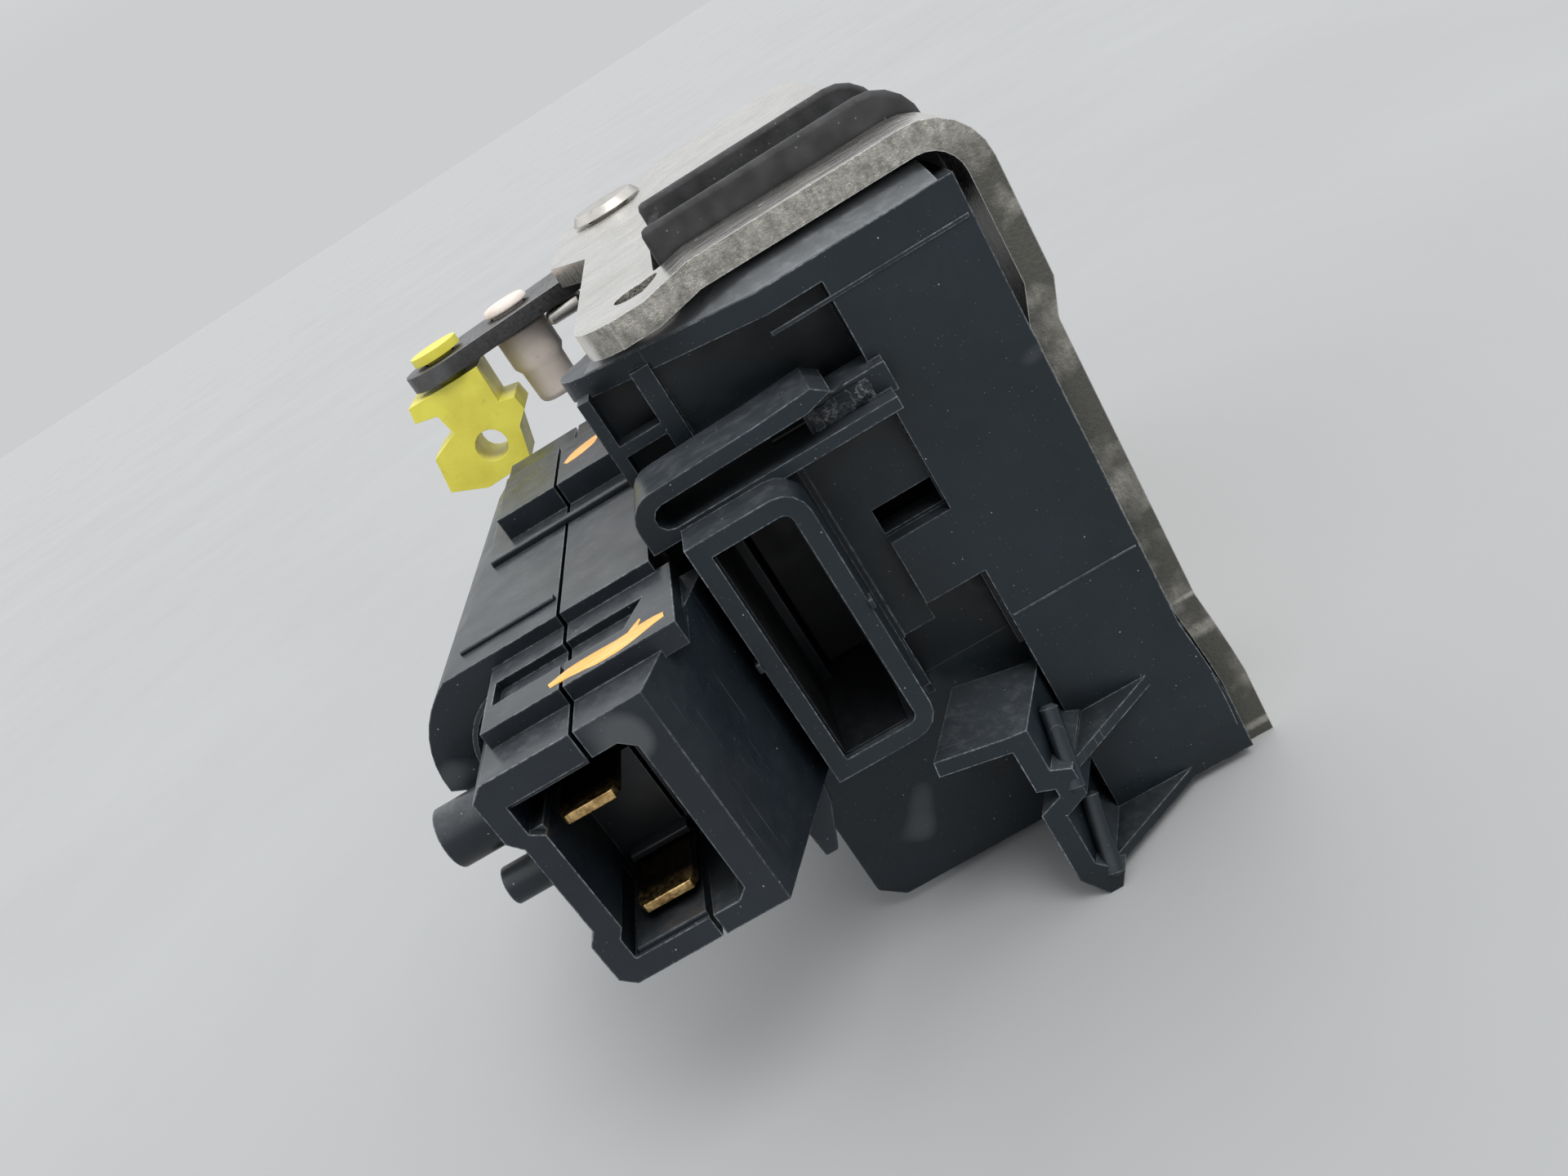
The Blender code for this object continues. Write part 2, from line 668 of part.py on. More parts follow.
def make_inside_lever():
    hinge = pivot_3d(INSIDE_PIVOT, INSIDE_X[0])
    arm = capsule(INSIDE_PIVOT, (50.6, -27.0), 5.0, 3.0)
    tail = capsule(INSIDE_PIVOT, (65.0, -8.5), 5.0, 2.6)
    lever = prism("inside_lever", arm, "X", *INSIDE_X, plated_steel(), hinge)
    add(lever, prism("inside_tail", tail, "X", *INSIDE_X, None, hinge))
    cut(
        lever,
        rod("inside_bore", "X", INSIDE_PIVOT, 2.5, 18.0, 24.0, None, hinge),
        rod("inside_cable_hole", "X", (50.6, -27.0), 1.5, 18.0, 24.0, None, hinge),
    )
    return lever


def make_outside_lever():
    """Lever under the flange: one arm out to the door rod, one tab down to the release lever."""
    hinge = Vector((*OUTSIDE_PIVOT, OUTSIDE_Z[0]))
    lever = prism(
        "outside_lever", capsule(OUTSIDE_PIVOT, LEVER_END, 6.5, 4.6), "Z", *OUTSIDE_Z, dark_steel(), hinge
    )
    tab_end = (24.2, 89.8)
    add(
        lever,
        prism("outside_short_arm", capsule(OUTSIDE_PIVOT, tab_end, 6.0, 2.6), "Z", *OUTSIDE_Z, None, hinge),
        box("outside_tab", (22.4, 25.8), (89.0, 91.0), (11.0, 23.0), None, hinge),
    )
    cut(
        lever,
        rod("outside_bore", "Z", OUTSIDE_PIVOT, 2.8, 20.0, 26.0, None, hinge),
        rod("clip_hole", "Z", LEVER_END, 2.0, 20.0, 26.0, None, hinge),
        rod("bush_hole", "Z", BUSH, 2.4, 20.0, 26.0, None, hinge),
    )
    return lever


def make_outside_rivet():
    return lathe(
        "outside_rivet", "Z", OUTSIDE_PIVOT,
        [(0, 15.0), (2.4, 15.0), (2.4, 26.25), (4.6, 26.25), (3.8, 27.3), (0, 27.3)],
        plated_steel(),
    )


def make_lever_bush():
    hinge = Vector((*OUTSIDE_PIVOT, OUTSIDE_Z[0]))
    return lathe(
        "lever_bush", "Z", BUSH,
        [(0, 11.9), (2.3, 11.9), (2.7, 12.4), (2.8, 16.2), (3.3, 17.0), (3.3, OUTSIDE_Z[0] - 0.3),
         (2.1, OUTSIDE_Z[0] - 0.3), (2.1, OUTSIDE_Z[1] + 0.3), (3.0, OUTSIDE_Z[1] + 0.3),
         (2.6, OUTSIDE_Z[1] + 1.2), (0, OUTSIDE_Z[1] + 1.2)],
        nylon(), hinge,
    )


def clip_outline():
    """Front view of the yellow rod clip: top arm, notch, lower lobe and a small nib."""
    x, z = LEVER_END[0], 14.6
    return [
        (x + 3.6, z + 6.0), (x - 5.6, z + 6.0), (x - 6.0, z + 4.2), (x - 3.4, z + 3.6), (x - 3.0, z + 1.0),
        (x - 6.6, z - 0.4), (x - 7.4, z - 4.6), (x - 3.4, z - 6.4), (x + 2.6, z - 6.2), (x + 3.8, z - 2.2),
        (x + 5.4, z - 0.8), (x + 5.2, z + 1.0), (x + 3.4, z + 1.4),
    ]


def make_rod_clip():
    hinge = Vector((*LEVER_END, OUTSIDE_Z[0]))
    depth = (LEVER_END[1] - 3.6, LEVER_END[1] + 3.6)
    clip = prism("rod_clip", clip_outline(), "Y", *depth, yellow_plastic(), hinge)
    add(
        clip,
        rod("clip_stem", "Z", LEVER_END, 1.65, 19.6, OUTSIDE_Z[1] + 1.0, None, hinge, 16),
        rod("clip_head", "Z", LEVER_END, 3.0, OUTSIDE_Z[1] + 0.35, OUTSIDE_Z[1] + 1.4, None, hinge, 16),
    )
    cut(clip, rod("clip_rod_bore", "Y", (LEVER_END[0] - 0.2, 12.2), 1.9, 70.0, 86.0, None, hinge, 16))
    return clip


# ---------------------------------------------------------------- locking levers

def make_output_arm():
    hinge = pivot_3d(WHEEL, ARM_X[0])
    tip = turned_about((WHEEL[0] + 12.0, WHEEL[1]), WHEEL, UNLOCKED)
    arm = prism("output_arm", capsule(WHEEL, tip, 4.4, 2.6), "X", *ARM_X, gear_plastic(), hinge)
    add(arm, rod("arm_pin", "X", tip, 1.2, 16.0, 19.6, None, hinge, 14))
    cut(arm, rod("arm_bore", "X", WHEEL, 2.2, 13.0, 18.0, None, hinge))
    return arm


def make_lock_lever():
    hinge = pivot_3d(LOCK_PIVOT, LOCK_X[0])
    swing = UNLOCKED * LOCK_RATIO
    straight = [(-17.6, -3.6), (-17.6, 3.6), (-8.0, 4.4), (2.0, 5.0), (5.0, 0.0), (2.0, -5.0), (-8.0, -4.4)]
    outline = [(LOCK_PIVOT[0] + u, LOCK_PIVOT[1] + v) for u, v in straight]
    outline = [turned_about(p, LOCK_PIVOT, swing) for p in outline]
    lever = prism("lock_lever", outline, "X", *LOCK_X, plated_steel(), hinge)
    mouth = ((-19.0, -1.9), (-19.0, 1.9), (-11.4, 1.9), (-11.4, -1.9))
    fork = [(LOCK_PIVOT[0] + u, LOCK_PIVOT[1] + v) for u, v in mouth]
    fork = [turned_about(p, LOCK_PIVOT, swing) for p in fork]
    cut(
        lever,
        prism("lock_fork", fork, "X", 15.0, 21.0, None, hinge),
        rod("lock_bore", "X", LOCK_PIVOT, 2.5, 15.0, 21.0, None, hinge),
    )
    return lever


# ---------------------------------------------------------------- actuator housing

def gearbox_outline(inset, left):
    """Flat-sided section of the gear side of the housing."""
    bottom, top = -14.0 + inset, HOUSING_TOP - inset
    if left:
        return rectangle((-7.2 + inset, SEAM_X), (bottom, top))
    return rectangle((SEAM_X, HOUSING_RIGHT - inset), (bottom, top))


def motor_bulge(name, y):
    """The round side of the housing, which tapers towards the worm's end."""
    bm = bmesh.new()
    rings = []
    for along, shrink in zip(y, (0.0, 0.9)):
        top = HOUSING_TOP - MOTOR[1]
        radius = 8.7 - shrink
        start = math.degrees(math.asin(top / radius))
        points = [(0.0, HOUSING_TOP)] + arc(MOTOR, radius, 180 - start, 180, 8)
        points += arc(MOTOR, 7.7 - shrink / 3, 184, 262, 8) + [(0.0, -4.0)]
        rings.append([bm.verts.new((u, along, v)) for u, v in points])
    bm.faces.new(rings[0])
    bm.faces.new(rings[1][::-1])
    for i, vert in enumerate(rings[0]):
        after = (i + 1) % len(rings[0])
        bm.faces.new((vert, rings[1][i], rings[1][after], rings[0][after]))
    return to_object(name, bm, case_plastic())


def socket_outline():
    """Mouth of the socket, with the keyed corners on its left side."""
    return [
        (4.2, 5.6), (3.2, 6.5), (-5.2, 6.5), (-5.2, 4.0), (-4.3, 3.4), (-4.3, -5.6), (-4.9, -6.4),
        (-4.9, -8.3), (3.4, -8.3), (4.2, -7.6),
    ]


def shroud_outline():
    return [
        (6.4, 8.8), (-5.8, 8.8), (-6.9, 7.9), (-6.9, 4.2), (-6.1, 3.2), (-6.1, -4.8), (-6.9, -5.8),
        (-6.9, -9.2), (-5.9, -10.2), (6.4, -10.2),
    ]


def half(piece, left):
    """Keep one side of a piece at the seam."""
    x = (SEAM_X - GAP / 2, 60.0) if left else (-60.0, SEAM_X + GAP / 2)
    cut(piece, box(f"{piece.name}_trim", x, (-5.0, 90.0), (-40.0, 40.0)))
    return piece


def rib_frame(name):
    """Raised frame on the shroud's top, with its shallow recess."""
    frame = box(name, (-5.2, 10.0), (4.1, 14.5), (8.2, 10.15))
    cut(frame, prism(f"{name}_recess", [(-4.6, 7.6), (6.0, 7.6), (7.6, 11.1), (-4.6, 11.1)], "Z", 9.4, 12.0))
    return frame


def housing_ears(name):
    """Two screw ears on the housing's far end and the rear lug on its top."""
    x = (-5.2, 7.4)
    return (
        half(box(f"{name}_ear_high", x, (63.0, 70.4), (0.4, 8.0)), name == "housing_left"),
        half(box(f"{name}_ear_low", x, (63.0, 70.4), (-13.0, -5.4)), name == "housing_left"),
        half(box(f"{name}_lug", (-5.0, 7.0), (38.0, 50.0), (10.6, 13.4)), name == "housing_left"),
    )


def make_housing_shell(name, left):
    """One half's outer form, before it is hollowed."""
    shell = prism(name, gearbox_outline(0.0, left), "Y", *HOUSING_Y, housing_plastic())
    add(
        shell,
        half(prism(f"{name}_shroud", shroud_outline(), "Y", 0.0, 16.0), left),
        half(rib_frame(f"{name}_rib"), left),
        *housing_ears(name),
    )
    if left:
        add(
            shell,
            motor_bulge("motor_bulge", (HOUSING_Y[0], 60.0)),
            rod("snap_boss", "X", (9.0, 2.4), 2.4, -13.6, -5.9),
            rod("locating_boss", "X", (8.0, -2.9), 1.5, -12.0, -4.8),
        )
    else:
        flare = [(5.4, 0.0), (6.4, 0.0), (11.6, 12.6), (11.4, 14.4), (8.4, 14.4), (5.4, 3.4)]
        add(
            shell,
            prism("flare_wall", flare, "Z", -10.2, 8.8),
            rod("output_boss", "X", WHEEL, 3.1, 8.0, 12.5),
        )
    half(shell, left)
    return shell


def make_housing(left):
    name = "housing_left" if left else "housing_right"
    shell = make_housing_shell(name, left)
    inner = (16.0, HOUSING_Y[1] - WALL)
    cut(shell, prism(f"{name}_socket", socket_outline(), "Y", -1.0, 9.0))
    if left:
        outline = [(u + (0.5 if u > 0 else 0), v) for u, v in gearbox_outline(WALL, True)]
        cavity = prism(f"{name}_cavity", outline, "Y", *inner)
        cut(shell, cavity, rod("motor_cavity", "Y", MOTOR, MOTOR_R + 0.4, 16.0, 58.4))
    else:
        outline = [(u - (0.5 if u < 5 else 0), v) for u, v in gearbox_outline(WALL, False)]
        cavity = prism(f"{name}_cavity", outline, "Y", *inner)
        cut(shell, cavity)
    add(shell, half(rod(f"{name}_post", "X", HOUSING_SCREWS[1], 2.8, -7.0, 8.0), left))
    for i, (x, z) in enumerate(BLADES):
        cut(shell, box(f"{name}_blade_slot_{i}", (x - 2.6, x + 2.6), (8.0, 17.0), (z - 0.75, z + 0.75)))
    for i, centre in enumerate(HOUSING_SCREWS):
        cut(shell, rod(f"{name}_screw_hole_{i}", "X", centre, 1.5, -12.0, 6.0))
    reach = (-6.6, 0.0) if left else (0.0, 14.0)
    cut(shell, rod(f"{name}_axle_hole", "X", WHEEL, 2.3, *reach))
    return shell


def make_terminals():
    for name, (x, z) in zip(("terminal_upper", "terminal_lower"), BLADES):
        outline = [
            (x - 1.9, 2.2), (x + 1.9, 2.2), (x + 2.3, 3.0), (x + 2.3, 17.2), (x - 2.3, 17.2), (x - 2.3, 3.0)
        ]
        prism(name, outline, "Z", z - 0.4, z + 0.4, brass())


def make_motor():
    can = lathe(
        "motor_can", "Y", MOTOR,
        [(0, 21.2), (MOTOR_R - 0.8, 21.2), (MOTOR_R, 22.0), (MOTOR_R, 40.0), (MOTOR_R - 0.8, 41.0),
         (2.6, 41.0), (2.6, 42.2), (1.4, 42.2), (1.4, 22.6), (0, 22.6)],
        dark_steel(),
    )
    cap = lathe(
        "motor_end_cap", "Y", MOTOR,
        [(0, 18.6), (5.0, 18.6), (5.6, 19.2), (5.6, 20.9), (0, 20.9)],
        case_plastic(), steps=20,
    )
    return can, cap


def make_rotor():
    hinge = Vector((MOTOR[0], 41.0, MOTOR[1]))
    rod("motor_shaft", "Y", MOTOR, 1.0, 23.2, 58.0, spring_steel(), hinge, 12)
    return make_worm(hinge)


def make_worm(hinge):
    """A one-start worm: a grid round its axis whose radius follows the thread."""
    low, high = 43.4, 56.6
    around, along = 16, 44
    bm = bmesh.new()
    rings = []
    for i in range(along + 1):
        y = low + (high - low) * i / along
        ring = []
        for j in range(around):
            angle = 2 * math.pi * j / around
            phase = ((y - WHEEL[0]) / WORM_LEAD - (angle / (2 * math.pi) - 0.75) + 0.5) % 1.0 - 0.5
            flank = min(max((0.30 - abs(phase)) / 0.12, 0.0), 1.0)
            radius = WORM_PITCH_R - THREAD_DEPTH / 2 + THREAD_DEPTH * flank
            across, up = radius * math.cos(angle), radius * math.sin(angle)
            ring.append(bm.verts.new((MOTOR[0] + across, y, MOTOR[1] + up)))
        rings.append(ring)
    bore = []
    for y in (high, low):
        bore.append([
            bm.verts.new((MOTOR[0] + 1.3 * math.cos(a), y, MOTOR[1] + 1.3 * math.sin(a)))
            for a in (2 * math.pi * j / around for j in range(around))
        ])
    rings += bore
    for one, two in zip(rings, rings[1:] + rings[:1]):
        for j in range(around):
            k = (j + 1) % around
            bm.faces.new((one[j], one[k], two[k], two[j]))
    return to_object("worm", bm, brass(), hinge)


def wheel_outline():
    pitch_r = WHEEL_TEETH * WORM_LEAD / (2 * math.pi)
    root, tip = pitch_r - 0.55, pitch_r + 0.42
    step = 360.0 / WHEEL_TEETH
    points = []
    for i in range(WHEEL_TEETH):
        middle = 90.0 + step * (i + 0.5)
        for offset, radius in ((-0.22, root), (-0.10, tip), (0.10, tip), (0.22, root)):
            points.append(polar(WHEEL, radius, middle + offset * step))
    return points


def make_wheel():
    hinge = pivot_3d(WHEEL, WHEEL_X[0])
    wheel = prism("worm_wheel", wheel_outline(), "X", *WHEEL_X, gear_plastic(), hinge)
    cut(wheel, rod("wheel_bore", "X", WHEEL, 2.2, -8.0, 2.0, None, hinge))
    rod("output_shaft", "X", WHEEL, 1.9, -6.4, 17.4, plated_steel(), hinge, 18)
    return wheel


def make_screws():
    for i, centre in enumerate(HOUSING_SCREWS, start=1):
        lathe(
            f"housing_screw_{i}", "X", centre,
            [(0, 5.6), (1.1, 4.8), (1.1, -7.5), (2.4, -7.5), (2.1, -8.9), (0, -8.9)],
            plated_steel(), steps=14,
        )


# ---------------------------------------------------------------- model

def clear_scene():
    for old in list(bpy.data.objects):
        bpy.data.objects.remove(old, do_unlink=True)


def main():
    clear_scene()
    make_faceplate()
    make_latch_case()
    make_striker_guide()
    make_bumper()
    make_claw()
    make_pawl()
    make_rivets()
    make_mechanism_springs()
    make_inner_plate()
    make_lever_cover()
    make_lever_pins()
    make_release_lever()
    make_inside_lever()
    make_outside_lever()
    make_outside_rivet()
    make_lever_bush()
    make_rod_clip()
    make_output_arm()
    make_lock_lever()
    make_housing(True)
    make_housing(False)
    make_terminals()
    make_motor()
    make_rotor()
    make_wheel()
    make_screws()


main()
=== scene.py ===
import json
import math
import random

import bmesh
import bpy
from mathutils import Matrix, Vector, noise


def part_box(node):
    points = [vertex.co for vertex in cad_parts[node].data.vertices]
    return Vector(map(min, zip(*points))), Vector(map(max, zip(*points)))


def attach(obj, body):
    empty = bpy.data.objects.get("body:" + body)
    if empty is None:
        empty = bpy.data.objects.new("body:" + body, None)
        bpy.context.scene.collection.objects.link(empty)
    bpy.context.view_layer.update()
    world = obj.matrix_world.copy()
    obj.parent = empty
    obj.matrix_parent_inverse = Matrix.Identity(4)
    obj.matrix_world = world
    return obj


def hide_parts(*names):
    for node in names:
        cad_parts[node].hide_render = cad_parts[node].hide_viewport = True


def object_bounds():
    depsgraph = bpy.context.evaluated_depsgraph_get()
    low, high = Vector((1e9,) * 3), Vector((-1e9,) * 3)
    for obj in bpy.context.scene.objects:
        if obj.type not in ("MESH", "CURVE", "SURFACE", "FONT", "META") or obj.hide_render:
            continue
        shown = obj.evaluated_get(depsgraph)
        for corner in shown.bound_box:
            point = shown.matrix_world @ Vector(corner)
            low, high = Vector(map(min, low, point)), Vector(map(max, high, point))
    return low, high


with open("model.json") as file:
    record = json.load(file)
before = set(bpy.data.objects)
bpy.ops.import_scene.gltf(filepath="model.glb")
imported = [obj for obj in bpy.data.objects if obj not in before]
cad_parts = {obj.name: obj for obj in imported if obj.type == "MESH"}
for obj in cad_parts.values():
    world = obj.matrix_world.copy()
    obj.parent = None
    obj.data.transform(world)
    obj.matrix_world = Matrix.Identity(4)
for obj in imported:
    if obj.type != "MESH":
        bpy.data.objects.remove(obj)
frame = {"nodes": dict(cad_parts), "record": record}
CAD_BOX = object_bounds()

# Places below are in millimetres from the middle of the connector's mouth, as in the CAD.
MM = 0.001
SEAT = Vector((44.4, 60.0, -28.5))

# The photograph's camera
CAMERA_PLACE = (25.83, -73.53, 41.21)
CAMERA_AZIMUTH = -6.4
CAMERA_ELEVATION = 22.9
CAMERA_ROLL = -32.9
CAMERA_LENS = 30.0

# The studio: brightness at the horizon and overhead, and where the soft key lamp stands
HORIZON = 0.62
OVERHEAD = 1.3
KEY_WAY = (0.32, -0.45, 0.83)
KEY_STRENGTH = 1.3
KEY_SPREAD = 24.0
FLOOR_REACH = 6.0

# Edges that turn by more than this are sharp
SHARP = math.radians(32)
# Seeds the torn plastic, so that it comes out the same each time
TEAR_SEED = 7

# Faces and axes of the CAD solids that the small pieces sit on. An axis is where it crosses its plane:
# (y, z) for the screws, the claw and the pawl, (x, y) for the outside lever and (x, z) for the motor.
CASE_FACE = 18.0
CASE_BACK = 98.0
CASE_UNDERSIDE = -32.0
CASE_WALL_X = 31.2
COVER_FACE = 10.5
HOUSING_TOP = 11.2
HOUSING_SIDE = -7.75
CONNECTOR_TOP = 10.15
HOUSING_SCREWS = ((66.6, 4.2), (66.6, -9.2), (19.4, -10.6))
DOOR_SCREWS = ((31.0, -28.5), (89.0, -28.5), (80.0, 17.0))
CLAW_PIVOT = (52.5, -3.0)
PAWL_PIVOT = (79.0, -19.0)
OUTSIDE_PIVOT = (14.5, 88.0)
MOTOR_AXIS = (-5.0, 3.4)
# The guide tube's bore, lowest and highest
BORE_X = (13.44, 19.56)
BORE_Z = (-8.86, 10.36)


def at(x, y, z):
    """A place in millimetres from the connector's mouth, in the row frame."""
    return (Vector((x, y, z)) - SEAT) * MM


def place(node):
    """A CAD node's lowest and highest corners in millimetres from the connector's mouth."""
    low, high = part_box(node)
    return low / MM + SEAT, high / MM + SEAT


# ---------------------------------------------------------------- shader layers

STEEL = (0.56, 0.54, 0.51)
STEEL_STAIN = (0.36, 0.34, 0.30)
SHEARED = (0.125, 0.122, 0.108)
SHEARED_BRIGHT = (0.50, 0.48, 0.43)
# Height and half-width of the brighter bands on the sheet's cut edge: the flange and the set-back foot
SHEARED_STREAKS = ((25.8, 3.6), (-17.2, 0.35), (-20.6, 0.9), (-31.7, 0.5))
DUST = (0.42, 0.42, 0.41)


class Surface:
    """One Principled material built from procedural layers, measured in millimetres."""

    def __init__(self, name, roughness, metallic=0.0):
        self.material = bpy.data.materials.new(name)
        self.material.use_nodes = True
        self.tree = self.material.node_tree
        self.tree.nodes.clear()
        output = self.tree.nodes.new("ShaderNodeOutputMaterial")
        self.shader = self.tree.nodes.new("ShaderNodeBsdfPrincipled")
        self.tree.links.new(self.shader.outputs[0], output.inputs[0])
        self.shader.inputs["Roughness"].default_value = roughness
        self.shader.inputs["Metallic"].default_value = metallic
        coordinates = self.tree.nodes.new("ShaderNodeTexCoord")
        self.millimetres = self.node("ShaderNodeMapping", Vector=coordinates.outputs["Object"])
        self.millimetres.inputs["Scale"].default_value = (1 / MM, 1 / MM, 1 / MM)

    def node(self, kind, settings=None, **inputs):
        made = self.tree.nodes.new(kind)
        for key, value in (settings or {}).items():
            setattr(made, key, value)
        for key, value in inputs.items():
            socket = made.inputs[key.replace("_", " ")]
            if isinstance(value, bpy.types.NodeSocket):
                self.tree.links.new(value, socket)
            else:
                socket.default_value = value
        return made

    def space(self, scale=(1.0, 1.0, 1.0), turn=(0.0, 0.0, 0.0)):
        mapping = self.node("ShaderNodeMapping", Vector=self.millimetres.outputs[0])
        mapping.inputs["Rotation"].default_value = [math.radians(a) for a in turn]
        mapping.inputs["Scale"].default_value = scale
        return mapping.outputs[0]

    def noise(self, scale, detail=4.0, roughness=0.55, stretch=(1.0, 1.0, 1.0), turn=(0.0, 0.0, 0.0)):
        where = self.space(stretch, turn)
        made = self.node("ShaderNodeTexNoise", Vector=where, Scale=scale, Detail=detail, Roughness=roughness)
        return made.outputs["Fac"]

    def ramp(self, value, low, high, to_low=0.0, to_high=1.0):
        made = self.node("ShaderNodeMapRange", Value=value)
        for key, number in zip(("From Min", "From Max", "To Min", "To Max"), (low, high, to_low, to_high)):
            made.inputs[key].default_value = number
        return made.outputs[0]

    def math(self, operation, a, b):
        made = self.node("ShaderNodeMath", {"operation": operation})
        for i, value in enumerate((a, b)):
            if isinstance(value, bpy.types.NodeSocket):
                self.tree.links.new(value, made.inputs[i])
            else:
                made.inputs[i].default_value = value
        return made.outputs[0]

    def times(self, a, b):
        return self.math("MULTIPLY", a, b)

    def most(self, a, b):
        return self.math("MAXIMUM", a, b)

    def size_of(self, a):
        """A value without its sign."""
        return self.math("ABSOLUTE", a, 0.0)

    def facing(self):
        """The X, Y and Z of the way a face looks."""
        coordinates = self.node("ShaderNodeTexCoord")
        return self.node("ShaderNodeSeparateXYZ", Vector=coordinates.outputs["Normal"]).outputs

    def where(self):
        """X, Y and Z in millimetres in the row frame."""
        return self.node("ShaderNodeSeparateXYZ", Vector=self.millimetres.outputs[0]).outputs

    def colours(self, fac, a, b):
        """Colour a where fac is 0 and b where it is 1."""
        made = self.node("ShaderNodeMix", {"data_type": "RGBA"})
        self.tree.links.new(fac, made.inputs["Factor"])
        for name, value in (("A", a), ("B", b)):
            socket = [s for s in made.inputs if s.name == name and s.type == "RGBA"][0]
            if isinstance(value, bpy.types.NodeSocket):
                self.tree.links.new(value, socket)
            else:
                socket.default_value = (*value, 1.0)
        return [s for s in made.outputs if s.type == "RGBA"][0]

    def specks(self, per_mm, size, patch=0.5):
        """Small scattered dots: 1 on a dot."""
        cells = self.node(
            "ShaderNodeTexVoronoi", {"feature": "F1"}, Vector=self.space(), Scale=per_mm, Randomness=1.0
        )
        dots = self.ramp(cells.outputs["Distance"], size, size * 0.45)
        chosen = self.node("ShaderNodeSeparateColor", Color=cells.outputs["Color"])
        return self.times(dots, self.ramp(chosen.outputs[0], patch, patch + 0.25))

    def scratches(self, turn, scale=1.0):
        """Short straight hairlines that run one way: 1 on a line."""
        streaks = self.noise(scale, 1.0, 0.4, (0.10, 7.0, 0.10), turn)
        return self.ramp(streaks, 0.74, 0.80)

    def edges(self, width):
        """1 on the solid's edges and 0 on its faces."""
        rounded = self.node("ShaderNodeBevel", {"samples": 6}, Radius=width * MM)
        geometry = self.node("ShaderNodeNewGeometry")
        dot = self.node("ShaderNodeVectorMath", {"operation": "DOT_PRODUCT"})
        self.tree.links.new(rounded.outputs[0], dot.inputs[0])
        self.tree.links.new(geometry.outputs["Normal"], dot.inputs[1])
        return self.ramp(dot.outputs["Value"], 0.995, 0.90)

    def open_air(self, reach):
        """1 on open faces and 0 deep in slots and sockets."""
        cover = self.node("ShaderNodeAmbientOcclusion", {"samples": 5}, Distance=reach * MM)
        return self.ramp(cover.outputs["AO"], 0.16, 0.84)

    def relief(self, height, depth, strength=1.0):
        """Turn a height value into surface relief, on top of any relief already there."""
        bump = self.node("ShaderNodeBump", Height=height)
        bump.inputs["Strength"].default_value = strength
        bump.inputs["Distance"].default_value = depth * MM
        normal = self.shader.inputs["Normal"]
        if normal.links:
            self.tree.links.new(normal.links[0].from_socket, bump.inputs["Normal"])
        self.tree.links.new(bump.outputs[0], normal)

    def colour(self, value):
        self.tree.links.new(value, self.shader.inputs["Base Color"])

    def roughness(self, value):
        self.tree.links.new(value, self.shader.inputs["Roughness"])


def scaled(colour, factor):
    return tuple(c * factor for c in colour)


def moulded_black(name, base, wear_and_light, roughness, speck_share, hollow=7.0):
    """Black moulded plastic: fine grain, dust, hairline scratches and pale edges of rubbed wear and painted
    highlight; faces that look up are painted paler, partly dust and partly painted top light.

    Painted shade makes it darkest in slots and sockets narrower than hollow, in millimetres.
    """
    s = Surface(name, roughness)
    s.shader.inputs["Specular IOR Level"].default_value = 0.36
    cloud = s.noise(0.12, 5.0)
    body = s.colours(s.ramp(cloud, 0.35, 0.7), base, scaled(base, 1.5))
    # Faces that look up are painted paler, in patches: partly dust, partly painted top light.
    dust_and_top_light_patches = s.ramp(s.noise(0.7, 6.0, 0.72), 0.48, 0.72)
    upward = s.ramp(s.facing()[2], 0.35, 0.85, 0.05, 1.0)
    body = s.colours(s.times(upward, s.ramp(dust_and_top_light_patches, 0.0, 1.0, 0.35, 0.80)), body, scaled(wear_and_light, 0.75))
    # Pale edges: rubbed wear and a painted edge highlight.
    edge = s.times(s.edges(0.19), s.ramp(s.noise(1.9, 6.0, 0.75), 0.40, 0.62, 0.12, 1.0))
    edge = s.times(edge, s.ramp(s.noise(0.2, 4.0), 0.38, 0.58, 0.35, 1.0))
    body = s.colours(edge, body, scaled(wear_and_light, 3.0))
    hairs = s.most(s.scratches((0, 0, 24)), s.scratches((35, 20, -50), 1.4))
    body = s.colours(s.times(hairs, 0.45), body, wear_and_light)
    dust = s.most(s.specks(0.9, 0.07, speck_share), s.times(s.specks(2.6, 0.10, speck_share), 0.6))
    body = s.colours(s.times(dust, 0.7), body, DUST)
    # Painted shade: darker deep in slots and sockets narrower than hollow millimetres.
    s.colour(s.colours(s.open_air(hollow), scaled(base, 0.22), body))
    patchy = s.ramp(s.noise(0.35, 5.0), 0.3, 0.7, roughness - 0.08, roughness + 0.12)
    s.roughness(s.most(patchy, s.times(s.most(dust, hairs), 0.7)))
    s.relief(s.noise(9.0, 3.0), 0.012, 0.35)
    s.relief(s.noise(0.22, 2.0), 0.25, 0.12)
    s.relief(dust, 0.02, 0.6)
    return s.material


